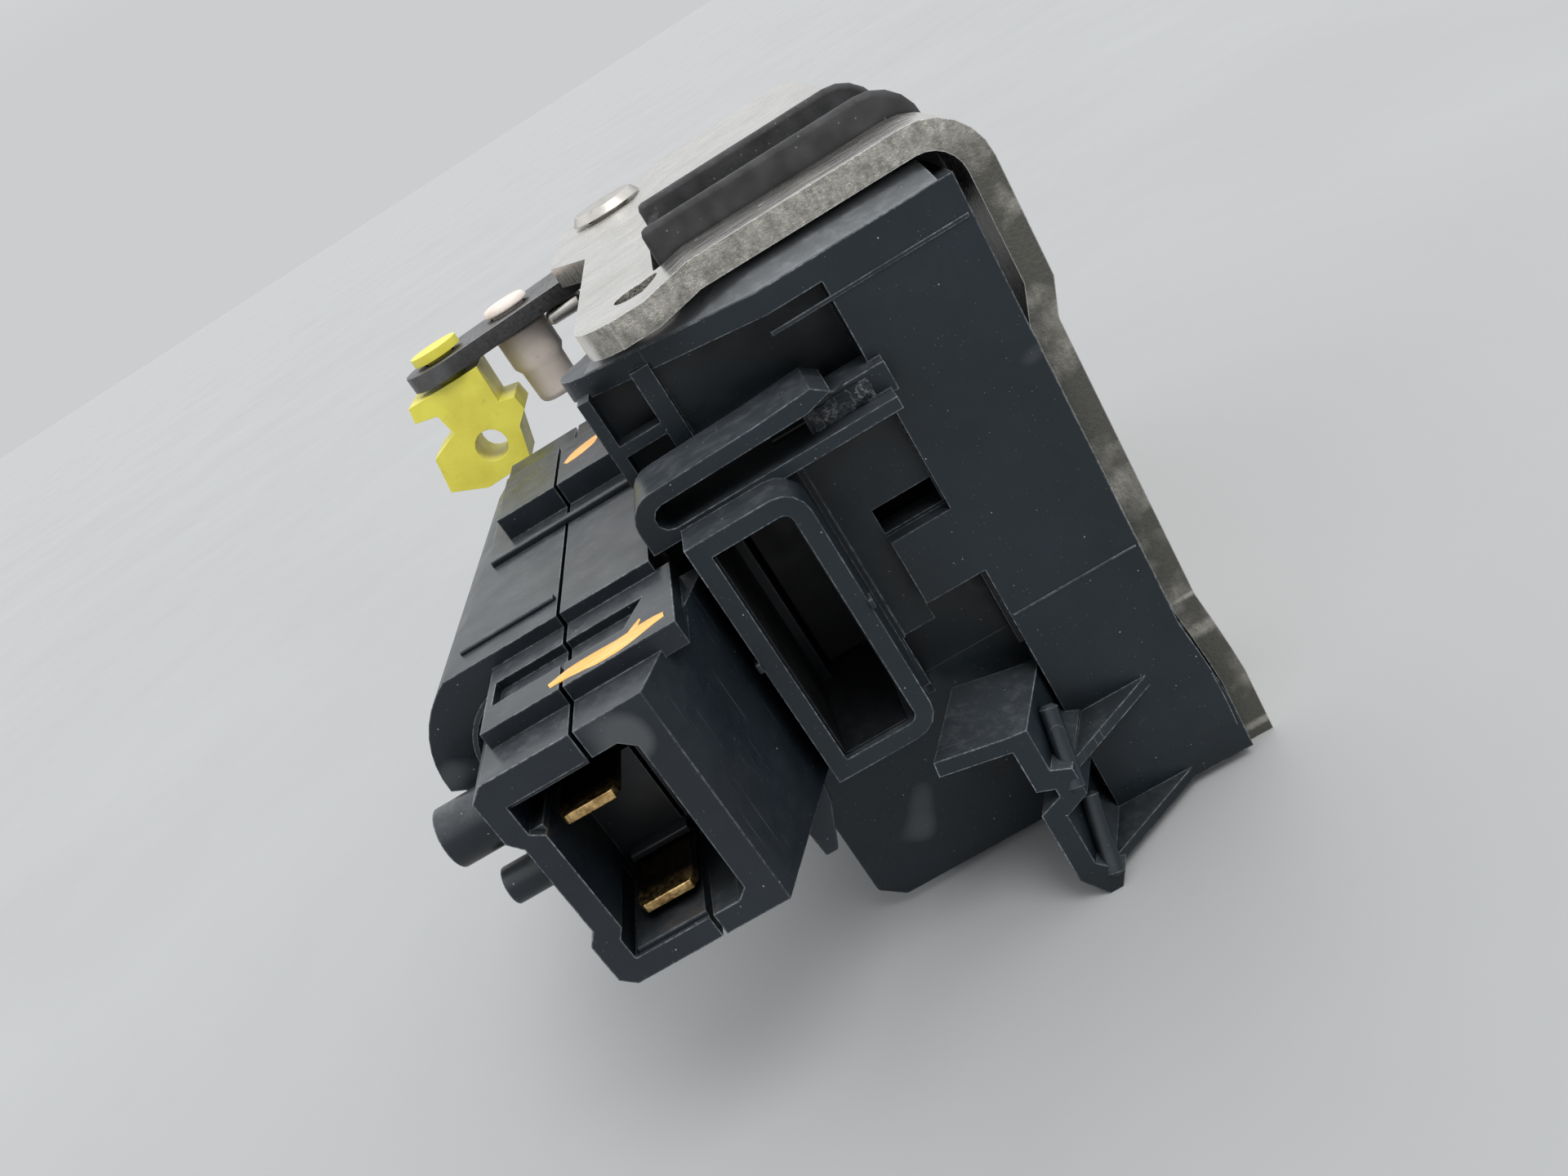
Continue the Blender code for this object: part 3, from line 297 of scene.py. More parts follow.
def plated(name, base, stain, roughness, grain=(0.9, 0.12, 0.9), sheared=False):
    """Zinc-plated sheet: rolled grain, cloudy stains, scratches, and bright edges of rubbed wear and painted
    highlight.

    Where it is sheared, the faces that look along Y are the sheet's cut edge: dark and torn,
    with brighter bands across it.
    """
    s = Surface(name, roughness, 1.0)
    cloud = s.noise(0.16, 6.0, 0.62)
    body = s.colours(s.ramp(cloud, 0.42, 0.72), base, stain)
    spots = s.ramp(s.noise(1.3, 3.0), 0.62, 0.74)
    body = s.colours(s.times(spots, 0.5), body, scaled(stain, 0.55))
    lines = s.noise(3.0, 6.0, 0.7, grain)
    body = s.colours(s.times(s.ramp(lines, 0.35, 0.65), 0.35), body, scaled(stain, 1.3))
    rough = s.ramp(lines, 0.3, 0.7, roughness - 0.1, roughness + 0.12)
    if sheared:
        cut = s.ramp(s.size_of(s.facing()[1]), 0.55, 0.75)
        band = s.ramp(s.noise(0.13, 3.0, 0.6, (1.0, 0.4, 1.0), (0, 28, 0)), 0.50, 0.66)
        for level, width in SHEARED_STREAKS:
            away = s.size_of(s.math("SUBTRACT", s.where()[2], level - SEAT.z))
            band = s.most(band, s.ramp(away, width, width * 0.3))
        # Brighter bands across the cut edge at the heights in SHEARED_STREAKS.
        bright_bands = s.times(band, s.ramp(s.noise(1.1, 5.0, 0.7, (1.0, 1.0, 0.5)), 0.38, 0.62, 0.35, 1.0))
        torn = s.colours(bright_bands, SHEARED, SHEARED_BRIGHT)
        fleck = s.ramp(s.noise(4.5, 5.0, 0.75), 0.58, 0.74)
        torn = s.colours(s.times(fleck, 0.4), torn, scaled(SHEARED_BRIGHT, 0.9))
        body = s.colours(cut, body, torn)
        s.relief(s.times(cut, s.noise(2.4, 6.0, 0.72)), 0.16, 0.8)
    # Brighter edges: rubbed wear and a painted edge highlight.
    edge = s.edges(0.14)
    body = s.colours(s.times(edge, 0.75), body, tuple(min(c * 1.3, 0.95) for c in base))
    s.colour(body)
    scratch = s.most(s.scratches((0, 12, 70)), s.scratches((60, 5, -20), 1.3))
    s.roughness(s.most(rough, s.times(spots, 0.6)))
    s.relief(lines, 0.02, 0.35)
    s.relief(s.noise(1.1, 5.0), 0.05, 0.22)
    s.relief(s.times(scratch, -1.0), 0.02, 0.5)
    return s.material


def wire_steel(name, base, roughness):
    """Drawn spring wire with darker patches."""
    s = Surface(name, roughness, 1.0)
    s.colour(s.colours(s.ramp(s.noise(1.5, 4.0), 0.4, 0.7), base, scaled(base, 0.55)))
    s.roughness(s.ramp(s.noise(4.0, 4.0), 0.3, 0.7, roughness - 0.08, roughness + 0.15))
    s.relief(s.noise(6.0, 3.0), 0.01, 0.4)
    return s.material


def contact_brass(name):
    """Stamped contact: bright at its tip and darkened by painted shade towards the root, with darker blotches
    and dull nicks.
    """
    s = Surface(name, 0.3, 1.0)
    front = place("terminal_upper")[0].y - SEAT.y
    root_shade = s.ramp(s.where()[1], front + 0.35, front + 1.9)
    blotch = s.ramp(s.noise(1.6, 5.0), 0.40, 0.62)
    body = s.colours(blotch, (0.72, 0.50, 0.22), (0.32, 0.20, 0.08))
    # Painted shade: near black behind the tip, where the blade runs back into the socket.
    body = s.colours(s.times(root_shade, 0.95), body, (0.018, 0.014, 0.010))
    s.colour(body)
    s.roughness(s.ramp(s.noise(2.4, 4.0), 0.3, 0.7, 0.22, 0.5))
    s.relief(s.noise(2.2, 5.0), 0.12, 0.7)
    return s.material


def moulded_colour(name, base, shade, roughness, milky=0.0):
    """Coloured moulded plastic, a little translucent, with soiling in its patches."""
    s = Surface(name, roughness)
    s.shader.inputs["Subsurface Weight"].default_value = milky
    s.shader.inputs["Subsurface Radius"].default_value = (0.0012, 0.0010, 0.0006)
    body = s.colours(s.ramp(s.noise(0.22, 5.0), 0.38, 0.72), base, shade)
    soil = s.ramp(s.noise(0.8, 6.0, 0.65), 0.60, 0.78)
    body = s.colours(s.times(soil, 0.4), body, scaled(shade, 0.35))
    s.colour(body)
    s.roughness(s.ramp(s.noise(1.2, 4.0), 0.3, 0.7, roughness - 0.08, roughness + 0.1))
    s.relief(s.noise(5.0, 3.0), 0.012, 0.4)
    return s.material


def soft_black(name):
    """Matt rubber-like lining with dust and dull grey edges."""
    s = Surface(name, 0.66)
    dust = s.specks(1.6, 0.14, 0.45)
    body = s.colours(s.ramp(s.noise(0.5, 5.0), 0.4, 0.7), (0.014, 0.014, 0.015), (0.040, 0.040, 0.042))
    body = s.colours(s.times(s.edges(0.2), 0.4), body, (0.10, 0.10, 0.10))
    s.colour(s.colours(s.times(dust, 0.5), body, (0.3, 0.3, 0.29)))
    s.roughness(s.ramp(s.noise(2.0, 3.0), 0.3, 0.7, 0.55, 0.8))
    s.relief(s.noise(4.0, 5.0), 0.05, 0.5)
    return s.material


def brush_paint(name):
    """Thick orange paint with the brush's streaks."""
    s = Surface(name, 0.38)
    along = (0.3, 2.4, 1.0)
    streaks = s.ramp(s.noise(0.9, 4.0, 0.6, along), 0.35, 0.7)
    s.colour(s.colours(streaks, (0.86, 0.40, 0.07), (0.93, 0.58, 0.22)))
    s.roughness(s.ramp(s.noise(2.0, 3.0), 0.3, 0.7, 0.3, 0.5))
    s.relief(s.noise(1.4, 4.0, 0.6, along), 0.08, 0.6)
    return s.material


def torn_black(name):
    """Torn plastic with thin stress-whitened lines."""
    s = Surface(name, 0.5)
    s.shader.inputs["Specular IOR Level"].default_value = 0.36
    line = s.size_of(s.math("SUBTRACT", s.noise(0.9, 5.0, 0.65), 0.5))
    pale = s.times(s.ramp(line, 0.035, 0.008), s.ramp(s.noise(0.7, 3.0), 0.42, 0.6))
    s.colour(s.colours(s.times(pale, 0.4), (0.010, 0.014, 0.018), (0.28, 0.28, 0.28)))
    s.roughness(s.ramp(s.noise(3.0, 3.0), 0.3, 0.7, 0.38, 0.62))
    s.relief(s.noise(2.2, 6.0, 0.7), 0.2, 0.7)
    return s.material


def floor_paint():
    s = Surface("studio_floor", 0.62)
    cloud = s.ramp(s.noise(0.012, 5.0), 0.3, 0.7)
    s.colour(s.colours(cloud, (0.358, 0.363, 0.367), (0.383, 0.389, 0.393)))
    s.roughness(s.ramp(s.noise(0.05, 5.0), 0.3, 0.7, 0.5, 0.68))
    return s.material


# The second colour of each black is its pale wear and scratches, and also its painted edge highlight and
# painted top light.
CASE_BLACK, CASE_WEAR_AND_LIGHT = (0.0060, 0.0105, 0.0145), (0.115, 0.125, 0.135)
HOUSING_BLACK, HOUSING_WEAR_AND_LIGHT = (0.0070, 0.0105, 0.0145), (0.125, 0.133, 0.14)
YELLOW, YELLOW_SHADE = (0.80, 0.74, 0.10), (0.66, 0.58, 0.06)
NYLON, NYLON_SHADE = (0.80, 0.72, 0.66), (0.64, 0.55, 0.49)
GEAR, GEAR_SHADE = (0.70, 0.70, 0.64), (0.58, 0.57, 0.52)
FINISHES = {
    "case_black": moulded_black("case_black_skin", CASE_BLACK, CASE_WEAR_AND_LIGHT, 0.36, 0.45),
    "housing_black": moulded_black("housing_black_skin", HOUSING_BLACK, HOUSING_WEAR_AND_LIGHT, 0.31, 0.6),
    "plated_steel": plated("plated_steel_skin", STEEL, STEEL_STAIN, 0.34),
    "dark_steel": plated("dark_steel_skin", (0.17, 0.17, 0.175), (0.09, 0.088, 0.085), 0.4),
    "spring_steel": wire_steel("spring_steel_skin", (0.42, 0.42, 0.43), 0.3),
    "brass": contact_brass("brass_skin"),
    "black_rubber": soft_black("black_rubber_skin"),
    "yellow_plastic": moulded_colour("yellow_plastic_skin", YELLOW, YELLOW_SHADE, 0.42, 0.15),
    "nylon": moulded_colour("nylon_skin", NYLON, NYLON_SHADE, 0.48, 0.2),
    "gear_plastic": moulded_colour("gear_plastic_skin", GEAR, GEAR_SHADE, 0.42, 0.15),
}
# Finishes of single pieces: the faceplate, painted light on the rim under its flange, painted shade inside
# the guide tube
SHEET = plated(
    "faceplate_skin", (0.79, 0.77, 0.74), (0.62, 0.60, 0.56), 0.25, grain=(0.1, 1.6, 0.1), sheared=True
)
# A lighter copy of the case plastic with little painted shade: painted light on the rim under the flange.
RIM_PAINTED_LIGHT = moulded_black("case_rim_painted_light", (0.062, 0.068, 0.075), (0.32, 0.33, 0.34), 0.30, 0.35, hollow=0.8)
# Near-black plastic: painted shade for the inside of the guide tube.
PAINTED_SHADE_BLACK = moulded_black("painted_shade_skin", (0.0020, 0.0030, 0.0040), (0.020, 0.022, 0.025), 0.50, 0.75)
PAINT = brush_paint("orange_paint")
TORN = torn_black("torn_plastic")

# Edge rounding of the CAD nodes, in millimetres; the rest get the default.
ROUNDING = {
    "latch_case": 0.28, "housing_left": 0.32, "housing_right": 0.32, "faceplate": 0.22, "lever_cover": 0.3,
    "striker_guide": 0.5, "rod_clip": 0.7, "lever_bush": 0.4, "worm": 0.05, "worm_wheel": 0.08,
    "terminal_upper": 0.12, "terminal_lower": 0.12,
}
DEFAULT_ROUNDING = 0.15


# ---------------------------------------------------------------- pieces

def round_edges(thing, width, welded=True):
    """Round an object's sharp edges and leave its flat faces flat."""
    if welded:
        weld = thing.modifiers.new("weld", "WELD")
        weld.merge_threshold = 0.001 * MM
        flat = thing.modifiers.new("flat", "DECIMATE")
        flat.decimate_type = "DISSOLVE"
        flat.angle_limit = math.radians(0.5)
    bevel = thing.modifiers.new("round", "BEVEL")
    bevel.width = width * MM
    bevel.segments = 2
    bevel.limit_method = "ANGLE"
    bevel.angle_limit = SHARP
    bevel.use_clamp_overlap = True
    normals = thing.modifiers.new("normals", "WEIGHTED_NORMAL")
    normals.keep_sharp = True


def finish_piece(name, bm, slot, body="latch", material=None, rounding=0.0, replaced=()):
    """Turn a bmesh in millimetres into a piece that rides on a body."""
    bmesh.ops.recalc_face_normals(bm, faces=bm.faces)
    bm.transform(Matrix.Scale(MM, 4) @ Matrix.Translation(-SEAT))
    mesh = bpy.data.meshes.new(name)
    bm.to_mesh(mesh)
    bm.free()
    mesh.materials.append(material or FINISHES[slot])
    mesh.shade_smooth()
    piece = bpy.data.objects.new(name, mesh)
    bpy.context.collection.objects.link(piece)
    if rounding:
        round_edges(piece, rounding, welded=False)
    else:
        mesh.set_sharp_from_angle(angle=SHARP)
    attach(piece, body)
    if replaced:
        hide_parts(*replaced)
    return piece


AXES = {
    "X": lambda u, v, w: (w, u, v),
    "Y": lambda u, v, w: (u, w, v),
    "Z": lambda u, v, w: (u, v, w),
}


def arc(centre, radius, start, end, steps):
    points = []
    for i in range(steps + 1):
        angle = math.radians(start + (end - start) * i / steps)
        points.append((centre[0] + radius * math.cos(angle), centre[1] + radius * math.sin(angle)))
    return points


def prism(name, outline, axis, low, high, slot, rounding=0.15, **more):
    """Extrude an outline; it is (y, z) for X, (x, z) for Y and (x, y) for Z."""
    bm = bmesh.new()
    spot = AXES[axis]
    start = [bm.verts.new(spot(u, v, low)) for u, v in outline]
    end = [bm.verts.new(spot(u, v, high)) for u, v in outline]
    bm.faces.new(start)
    bm.faces.new(end[::-1])
    for i, vert in enumerate(start):
        after = (i + 1) % len(start)
        bm.faces.new((vert, end[i], end[after], start[after]))
    return finish_piece(name, bm, slot, rounding=rounding, **more)


def block(name, x, y, z, slot, rounding=0.15, **more):
    outline = [(x[0], y[0]), (x[1], y[0]), (x[1], y[1]), (x[0], y[1])]
    return prism(name, outline, "Z", z[0], z[1], slot, rounding, **more)


def turned(name, axis, centre, profile, slot, steps=40, **more):
    """Turn a profile of (radius, distance along axis) points round an axis."""
    bm = bmesh.new()
    spot = AXES[axis]
    rings = []
    for radius, distance in profile:
        points = arc(centre, radius, 0, 360, steps)[:-1] if radius else [centre]
        rings.append([bm.verts.new(spot(u, v, distance)) for u, v in points])
    joins = list(zip(rings, rings[1:]))
    if profile[0][0]:
        joins.append((rings[-1], rings[0]))
    for one, two in joins:
        for i in range(steps):
            j = (i + 1) % steps
            if len(one) == 1:
                bm.faces.new((one[0], two[j], two[i]))
            elif len(two) == 1:
                bm.faces.new((one[i], one[j], two[0]))
            else:
                bm.faces.new((one[i], one[j], two[j], two[i]))
    return finish_piece(name, bm, slot, **more)


def wire_along(name, path, wire, slot, sides=10, **more):
    """Round wire through a list of points, with domed ends."""
    bm = bmesh.new()
    path = [Vector(p) for p in path]
    last = len(path) - 1
    up = Vector((0.31, 0.52, 0.79))
    rings = []
    for i, point in enumerate(path):
        ahead = (path[min(i + 1, last)] - path[max(i - 1, 0)]).normalized()
        side = ahead.cross(up).normalized()
        up = side.cross(ahead).normalized()
        # each slice is a share of the radius and a shift along the wire
        slices = [(1.0, 0.0)]
        if i == 0:
            slices = [(0.55, -0.35), (0.9, -0.12)] + slices
        elif i == last:
            slices = slices + [(0.9, 0.12), (0.55, 0.35)]
        for size, shift in slices:
            ring = []
            for k in range(sides):
                angle = 2 * math.pi * k / sides
                out = side * math.cos(angle) + up * math.sin(angle)
                ring.append(bm.verts.new(point + ahead * shift * wire / 2 + out * size * wire / 2))
            rings.append(ring)
    for one, two in zip(rings, rings[1:]):
        for k in range(sides):
            j = (k + 1) % sides
            bm.faces.new((one[k], one[j], two[j], two[k]))
    bm.faces.new(rings[0][::-1])
    bm.faces.new(rings[-1])
    return finish_piece(name, bm, slot, **more)


def coil(name, axis, centre, radius, wire, low, turns, pitch, legs, **more):
    """A torsion spring with a straight leg at each end."""
    per_turn = 32
    spot = AXES[axis]
    path = []
    for i in range(int(turns * per_turn) + 1):
        angle = 2 * math.pi * i / per_turn
        u = centre[0] + radius * math.cos(angle)
        v = centre[1] + radius * math.sin(angle)
        path.append(Vector(spot(u, v, low + pitch * i / per_turn)))
    first = (path[0] - path[1]).normalized()
    last = (path[-1] - path[-2]).normalized()
    path = [path[0] + first * legs[0], *path, path[-1] + last * legs[1]]
    return wire_along(name, path, wire, "spring_steel", **more)


def middle(node):
    low, high = place(node)
    return (low + high) / 2


# ---------------------------------------------------------------- CAD nodes

def dress_nodes():
    """Give every CAD node its layered material and rounded edges."""
    slots = {entry["node"]: entry["material_slot"] for entry in frame["record"]["subparts"]}
    for name, node in frame["nodes"].items():
        node.data.materials.clear()
        node.data.materials.append(SHEET if name == "faceplate" else FINISHES[slots[name]])
        node.data.shade_smooth()
        round_edges(node, ROUNDING.get(name, DEFAULT_ROUNDING))


# ---------------------------------------------------------------- connector and housing

def connector_details():
    """Keys and steps inside the mouth, a seat behind each blade, and the gusset under the flare."""
    front = place("housing_left")[0].y
    deep = front + 8.8
    block("socket_key_high", (-5.3, -4.2), (front + 0.5, deep), (3.3, 4.0), "housing_black", 0.1)
    block("socket_step_low", (-4.6, 1.0), (front + 0.35, deep), (-8.5, -7.9), "housing_black", 0.1)
    block("socket_step_high", (-5.3, 0.9), (front + 0.35, deep), (6.1, 6.7), "housing_black", 0.1)
    for name, node in (("blade_seat_high", "terminal_upper"), ("blade_seat_low", "terminal_lower")):
        low, high = place(node)
        y = (front + 7.6, front + 9.2)
        block(name, (low.x - 0.1, high.x + 0.2), y, (high.z + 0.15, high.z + 0.75), "housing_black", 0.12)
    gusset = [(10.9, -10.1), (10.5, -12.2), (8.8, -16.3), (7.7, -16.3), (7.3, -10.1)]
    prism("flare_gusset", gusset, "Y", 11.3, 12.2, "housing_black", 0.15)


def blob(name, centreline, widths, level, height, material, body="latch", slot="housing_black"):
    """A low domed stroke of paint along a line on a flat face."""
    bm = bmesh.new()
    rows = []
    across = (-1.0, -0.8, -0.4, 0.0, 0.4, 0.8, 1.0)
    for i, ((x, y), width) in enumerate(zip(centreline, widths)):
        before = Vector(centreline[max(i - 1, 0)])
        after = Vector(centreline[min(i + 1, len(centreline) - 1)])
        way = (after - before).normalized()
        side = Vector((-way.y, way.x))
        row = []
        for a in across:
            wobble = 1 + 0.25 * noise.noise(Vector((x * 1.3, a * 2.0, 3.0)))
            spot = Vector((x, y)) + side * a * width / 2 * wobble
            lift = height * (1 - a * a) ** 0.5 if abs(a) < 1 else 0.0
            row.append(bm.verts.new((spot.x, spot.y, level + lift)))
        rows.append(row)
    for one, two in zip(rows, rows[1:]):
        for k in range(len(across) - 1):
            bm.faces.new((one[k], one[k + 1], two[k + 1], two[k]))
    base = [bm.verts.new((v.co.x, v.co.y, level - 0.05)) for row in rows for v in (row[0], row[-1])]
    left, right = base[0::2], base[1::2]
    for i in range(len(rows) - 1):
        bm.faces.new((rows[i][0], rows[i + 1][0], left[i + 1], left[i]))
        bm.faces.new((rows[i][-1], right[i], right[i + 1], rows[i + 1][-1]))
        bm.faces.new((left[i], left[i + 1], right[i + 1], right[i]))
    bm.faces.new([left[0], *rows[0], right[0]])
    bm.faces.new([right[-1], *rows[-1][::-1], left[-1]])
    return finish_piece(name, bm, slot, body=body, material=material)


def paint_marks():
    """A wavy stroke with a split tail on the connector, and a spot on the gear housing's lug."""
    points = 13
    line = [(0.2 + 0.75 * i, 5.3 + 0.05 * i + 0.25 * math.sin(i * 0.7)) for i in range(points)]
    widths = [0.3 + 1.7 * math.sin(math.pi * (i + 0.6) / (points + 0.4)) ** 0.8 for i in range(points)]
    blob("paint_stroke", line, widths, CONNECTOR_TOP, 0.09, PAINT)
    tail = [(6.6 + 0.25 * i, 6.2 + 0.42 * i) for i in range(4)]
    blob("paint_tail", tail, (0.7, 0.6, 0.45, 0.2), CONNECTOR_TOP, 0.07, PAINT)
    lug_top = place("housing_left")[1].z
    spot = [(2.0 + 0.6 * i, 43.0 + 0.55 * i) for i in range(7)]
    blob("paint_spot", spot, (0.5, 1.6, 2.3, 2.5, 2.2, 1.5, 0.5), lug_top, 0.08, PAINT)


def housing_details():
    """Shallow ribs and snaps on the gear housing, the motor's vent ring and the screws' drives."""
    under = HOUSING_TOP - 0.1
    block("housing_rib_cross", (-6.4, 8.2), (33.2, 34.2), (under, HOUSING_TOP + 0.55), "housing_black")
    block("housing_rib_front", (-7.6, 0.8), (17.0, 17.8), (under, HOUSING_TOP + 0.35), "housing_black")
    for i, y in enumerate((52.5, 60.5)):
        block(f"housing_snap_{i}", (8.7, 9.5), (y, y + 3.4), (-2.0, 9.4), "housing_black", 0.2)
        block(f"housing_snap_tooth_{i}", (9.3, 9.9), (y + 0.5, y + 2.9), (7.2, 8.6), "housing_black", 0.2)
    for i, z in enumerate((-12.2, -7.4, -2.6)):
        block(f"housing_side_rib_{i}", (HOUSING_SIDE, -7.1), (24.0, 60.0), (z, z + 0.9), "housing_black", 0.2)
    turned(
        "motor_vent_ring", "Y", MOTOR_AXIS,
        [(4.6, 13.75), (5.1, 13.6), (5.5, 13.75), (5.5, 14.2), (4.6, 14.2)], "housing_black",
    )
    for i, centre in enumerate(HOUSING_SCREWS, start=1):
        screw_recess(f"screw_recess_{i}", centre, place("housing_screw_1")[0].x)


def screw_recess(name, centre, x):
    """A six-lobed drive in a screw's head, as a dark star just proud of it."""
    star = []
    for i in range(24):
        radius = 1.12 if i % 4 in (0, 1) else 0.78
        angle = math.radians(i * 15)
        star.append((centre[0] + radius * math.cos(angle), centre[1] + radius * math.sin(angle)))
    prism(name, star, "X", x - 0.03, x + 0.25, "dark_steel", 0.05)


# ---------------------------------------------------------------- latch case front

def case_details():
    """Seams, nibs, ridges, the dark walls behind the openings of the case's near face, and painted shade in
    the guide tube.
    """
    proud = CASE_FACE + 0.1
    block("parting_line", (29.7, 40.6), (CASE_FACE - 0.08, proud), (-9.75, -9.55), "case_black", 0.04)
    for i, x in enumerate(((11.65, 12.1), (20.9, 21.35))):
        block(f"tube_nib_{i}", x, (9.7, 11.0), (0.9, 1.7), "case_black", 0.12)
    posts = {
        "buttress_post": [(27.1, 11.9, -22.4), (27.7, 13.5, -19.6), (28.3, 15.0, -16.8)],
        "buttress_post_low": [(26.4, 11.8, -31.5), (27.0, 13.4, -28.7), (27.7, 15.0, -26.0)],
    }
    for name, path in posts.items():
        wire_along(name, path, 1.7, "case_black", 16)
    ridge = [(24.6, CASE_FACE - 0.1), (40.6, CASE_FACE - 0.1), (40.6, proud), (24.6, proud)]
    prism("rim_ridge", ridge, "Z", 19.4, 19.75, "case_black", 0.05)
    sloped_lip()
    foot_swell()
    torn_lug()
    # Painted shade: a near-black sheet closing the guide tube's bore.
    block("tube_back_shade", (14.6, 19.5), (24.9, 25.6), (-8.7, 10.2), "case_black", 0.2, material=PAINTED_SHADE_BLACK)
    tube_shade_lining()
    block("window_back_low", (20.6, 29.6), (22.15, 23.2), (-14.6, -4.4), "case_black", 0.2)
    wall = [
        (CASE_WALL_X, -12.3), (CASE_WALL_X, -31.4), (9.5, -31.4), (7.4, -29.6), (7.4, -14.5), (12.8, -14.5),
        (12.8, -12.3),
    ]
    prism("lower_front_wall", wall, "Y", 22.1, 23.4, "case_black", 0.3)


def tube_shade_lining():
    """Thin sheets of painted shade inside the guide tube."""
    (left, right), (low, high) = BORE_X, BORE_Z
    lining, corner = 0.15, 0.8
    sides = (
        ((left, left + lining), (low, high)),
        ((right - lining, right), (low + corner, high - corner)),
        ((left, right - corner), (low, low + lining)),
        ((left, right - corner), (high - lining, high)),
    )
    for i, (x, z) in enumerate(sides):
        block(f"tube_shade_lining_{i}", x, (10.7, 24.8), z, "case_black", 0.04, material=PAINTED_SHADE_BLACK)


def rear_details():
    """Stiffening ribs on the back, underside and lever cover."""
    inside = CASE_BACK - 0.1
    for i, x in enumerate((16.0, 22.0, 28.0, 34.0)):
        block(f"rear_rib_{i}", (x, x + 1.0), (inside, CASE_BACK + 0.9), (-29.0, 18.0), "case_black", 0.2)
    for i, z in enumerate((-20.5, -1.0)):
        block(f"rear_rib_cross_{i}", (14.0, 39.5), (inside, CASE_BACK + 0.7), (z, z + 1.0), "case_black", 0.2)
    boss = ((1.3, -0.2), (1.3, 0.9), (1.5, 1.2), (2.5, 1.2), (2.8, 0.9), (2.8, -0.2))
    boss = [(radius, CASE_BACK + out) for radius, out in boss]
    turned("rear_boss", "Y", (25.5, 9.0), boss, "case_black", 32)
    for i, x in enumerate((16.0, 21.0, 26.0)):
        z = (CASE_UNDERSIDE - 0.8, CASE_UNDERSIDE + 0.1)
        block(f"under_rib_{i}", (x, x + 1.0), (28.0, 92.0), z, "case_black", 0.2)
    for i, z in enumerate((-28.4, -25.6)):
        x = (COVER_FACE - 0.9, COVER_FACE)
        block(f"cover_rib_{i}", x, (27.0, 90.0), (z, z + 1.1), "case_black", 0.25)
    pad = ((0, 1.0), (1.6, 1.0), (1.9, 0.7), (4.4, 0.7), (4.9, 0.4), (4.9, -0.1), (0, -0.1))
    pad = [(radius, COVER_FACE - out) for radius, out in pad]
    turned("cover_pad", "X", (85.5, -7.5), pad, "case_black", 36)


def loft(name, rows, **more):
    """Join rows of points into a closed tube with flat ends."""
    bm = bmesh.new()
    rows = [[bm.verts.new(point) for point in row] for row in rows]
    for one, two in zip(rows, rows[1:]):
        for k in range(len(one)):
            j = (k + 1) % len(one)
            bm.faces.new((one[k], one[j], two[j], two[k]))
    bm.faces.new(rows[0])
    bm.faces.new(rows[-1][::-1])
    return finish_piece(name, bm, "case_black", **more)


def sloped_lip():
    """The case's top rim rises from its near edge to just under the flange."""
    near = CASE_FACE + 0.06
    edge = [(39.8, near), (32.0, near), (25.1, near), (21.4, 19.9), (17.6, 21.8), (13.8, 23.7), (10.7, 25.3)]
    base, start = 22.5, 22.78
    rows = []
    for i, (x, y) in enumerate(edge):
        after = Vector(edge[min(i + 1, len(edge) - 1)])
        before = Vector(edge[max(i - 1, 0)])
        way = (after - before).normalized()
        inward = Vector((way.y, -way.x))
        top = 24.15 if 21 < x < 39 else 23.75 if x > 39 else 23.4
        half_way = start + (top - start) * 0.56
        profile = ((0.0, base), (0.0, start), (2.2, half_way), (4.0, top), (5.2, top), (5.2, base))
        rows.append([(x + inward.x * inset, y + inward.y * inset, z) for inset, z in profile])
    # The rim gets the lighter copy of the case plastic: painted light.
    loft("rim_slope", rows, rounding=0.12, material=RIM_PAINTED_LIGHT)


def foot_swell():
    """Shallow swelling of the near wall where it turns out to the faceplate's foot."""
    left, right, top, tall, proud = 31.5, 41.5, -23.0, 7.0, 0.45
    steps, slices = 14, 12
    inside = CASE_FACE + 0.3
    rows = []
    for i in range(steps + 1):
        x = left + (right - left) * i / steps
        grow = min(i / 9, 1.0) ** 1.5
        row = []
        for k in range(slices + 1):
            swell = proud * grow * math.sin(math.pi * k / slices) ** 2
            row.append((x, CASE_FACE + 0.03 - swell, top - tall * k / slices))
        rows.append(row + [(x, inside, top - tall), (x, inside, top)])
    loft("foot_swell", rows)


def torn_lug():
    """The broken end of the long lug: an uneven block with a few raised shreds."""
    centre, size = (26.4, 16.8, 13.0), (5.0, 1.3, 1.7)
    noise.seed_set(TEAR_SEED)
    bm = bmesh.new()
    bmesh.ops.create_cube(bm, size=1.0)
    bmesh.ops.subdivide_edges(bm, edges=bm.edges, cuts=11, use_grid_fill=True)
    for vert in bm.verts:
        vert.co = [middle + share * side for middle, share, side in zip(centre, vert.co, size)]
        vert.co += noise.noise_vector(vert.co * 0.8) * 0.22 + noise.noise_vector(vert.co * 2.8) * 0.08
    finish_piece("torn_lug", bm, "case_black", material=TORN)
    draw = random.Random(TEAR_SEED)
    for i in range(4):
        path = [Vector((22.8 + i, 14.6, 14.7))]
        for _ in range(4):
            step = (draw.uniform(0.1, 0.5), draw.uniform(-0.2, 0.2), draw.uniform(-0.05, 0.22))
            path.append(path[-1] + Vector(step))
        wire_along(f"torn_shred_{i}", path, 0.26, "case_black", sides=6, material=TORN)


# ---------------------------------------------------------------- steel, rivets and springs

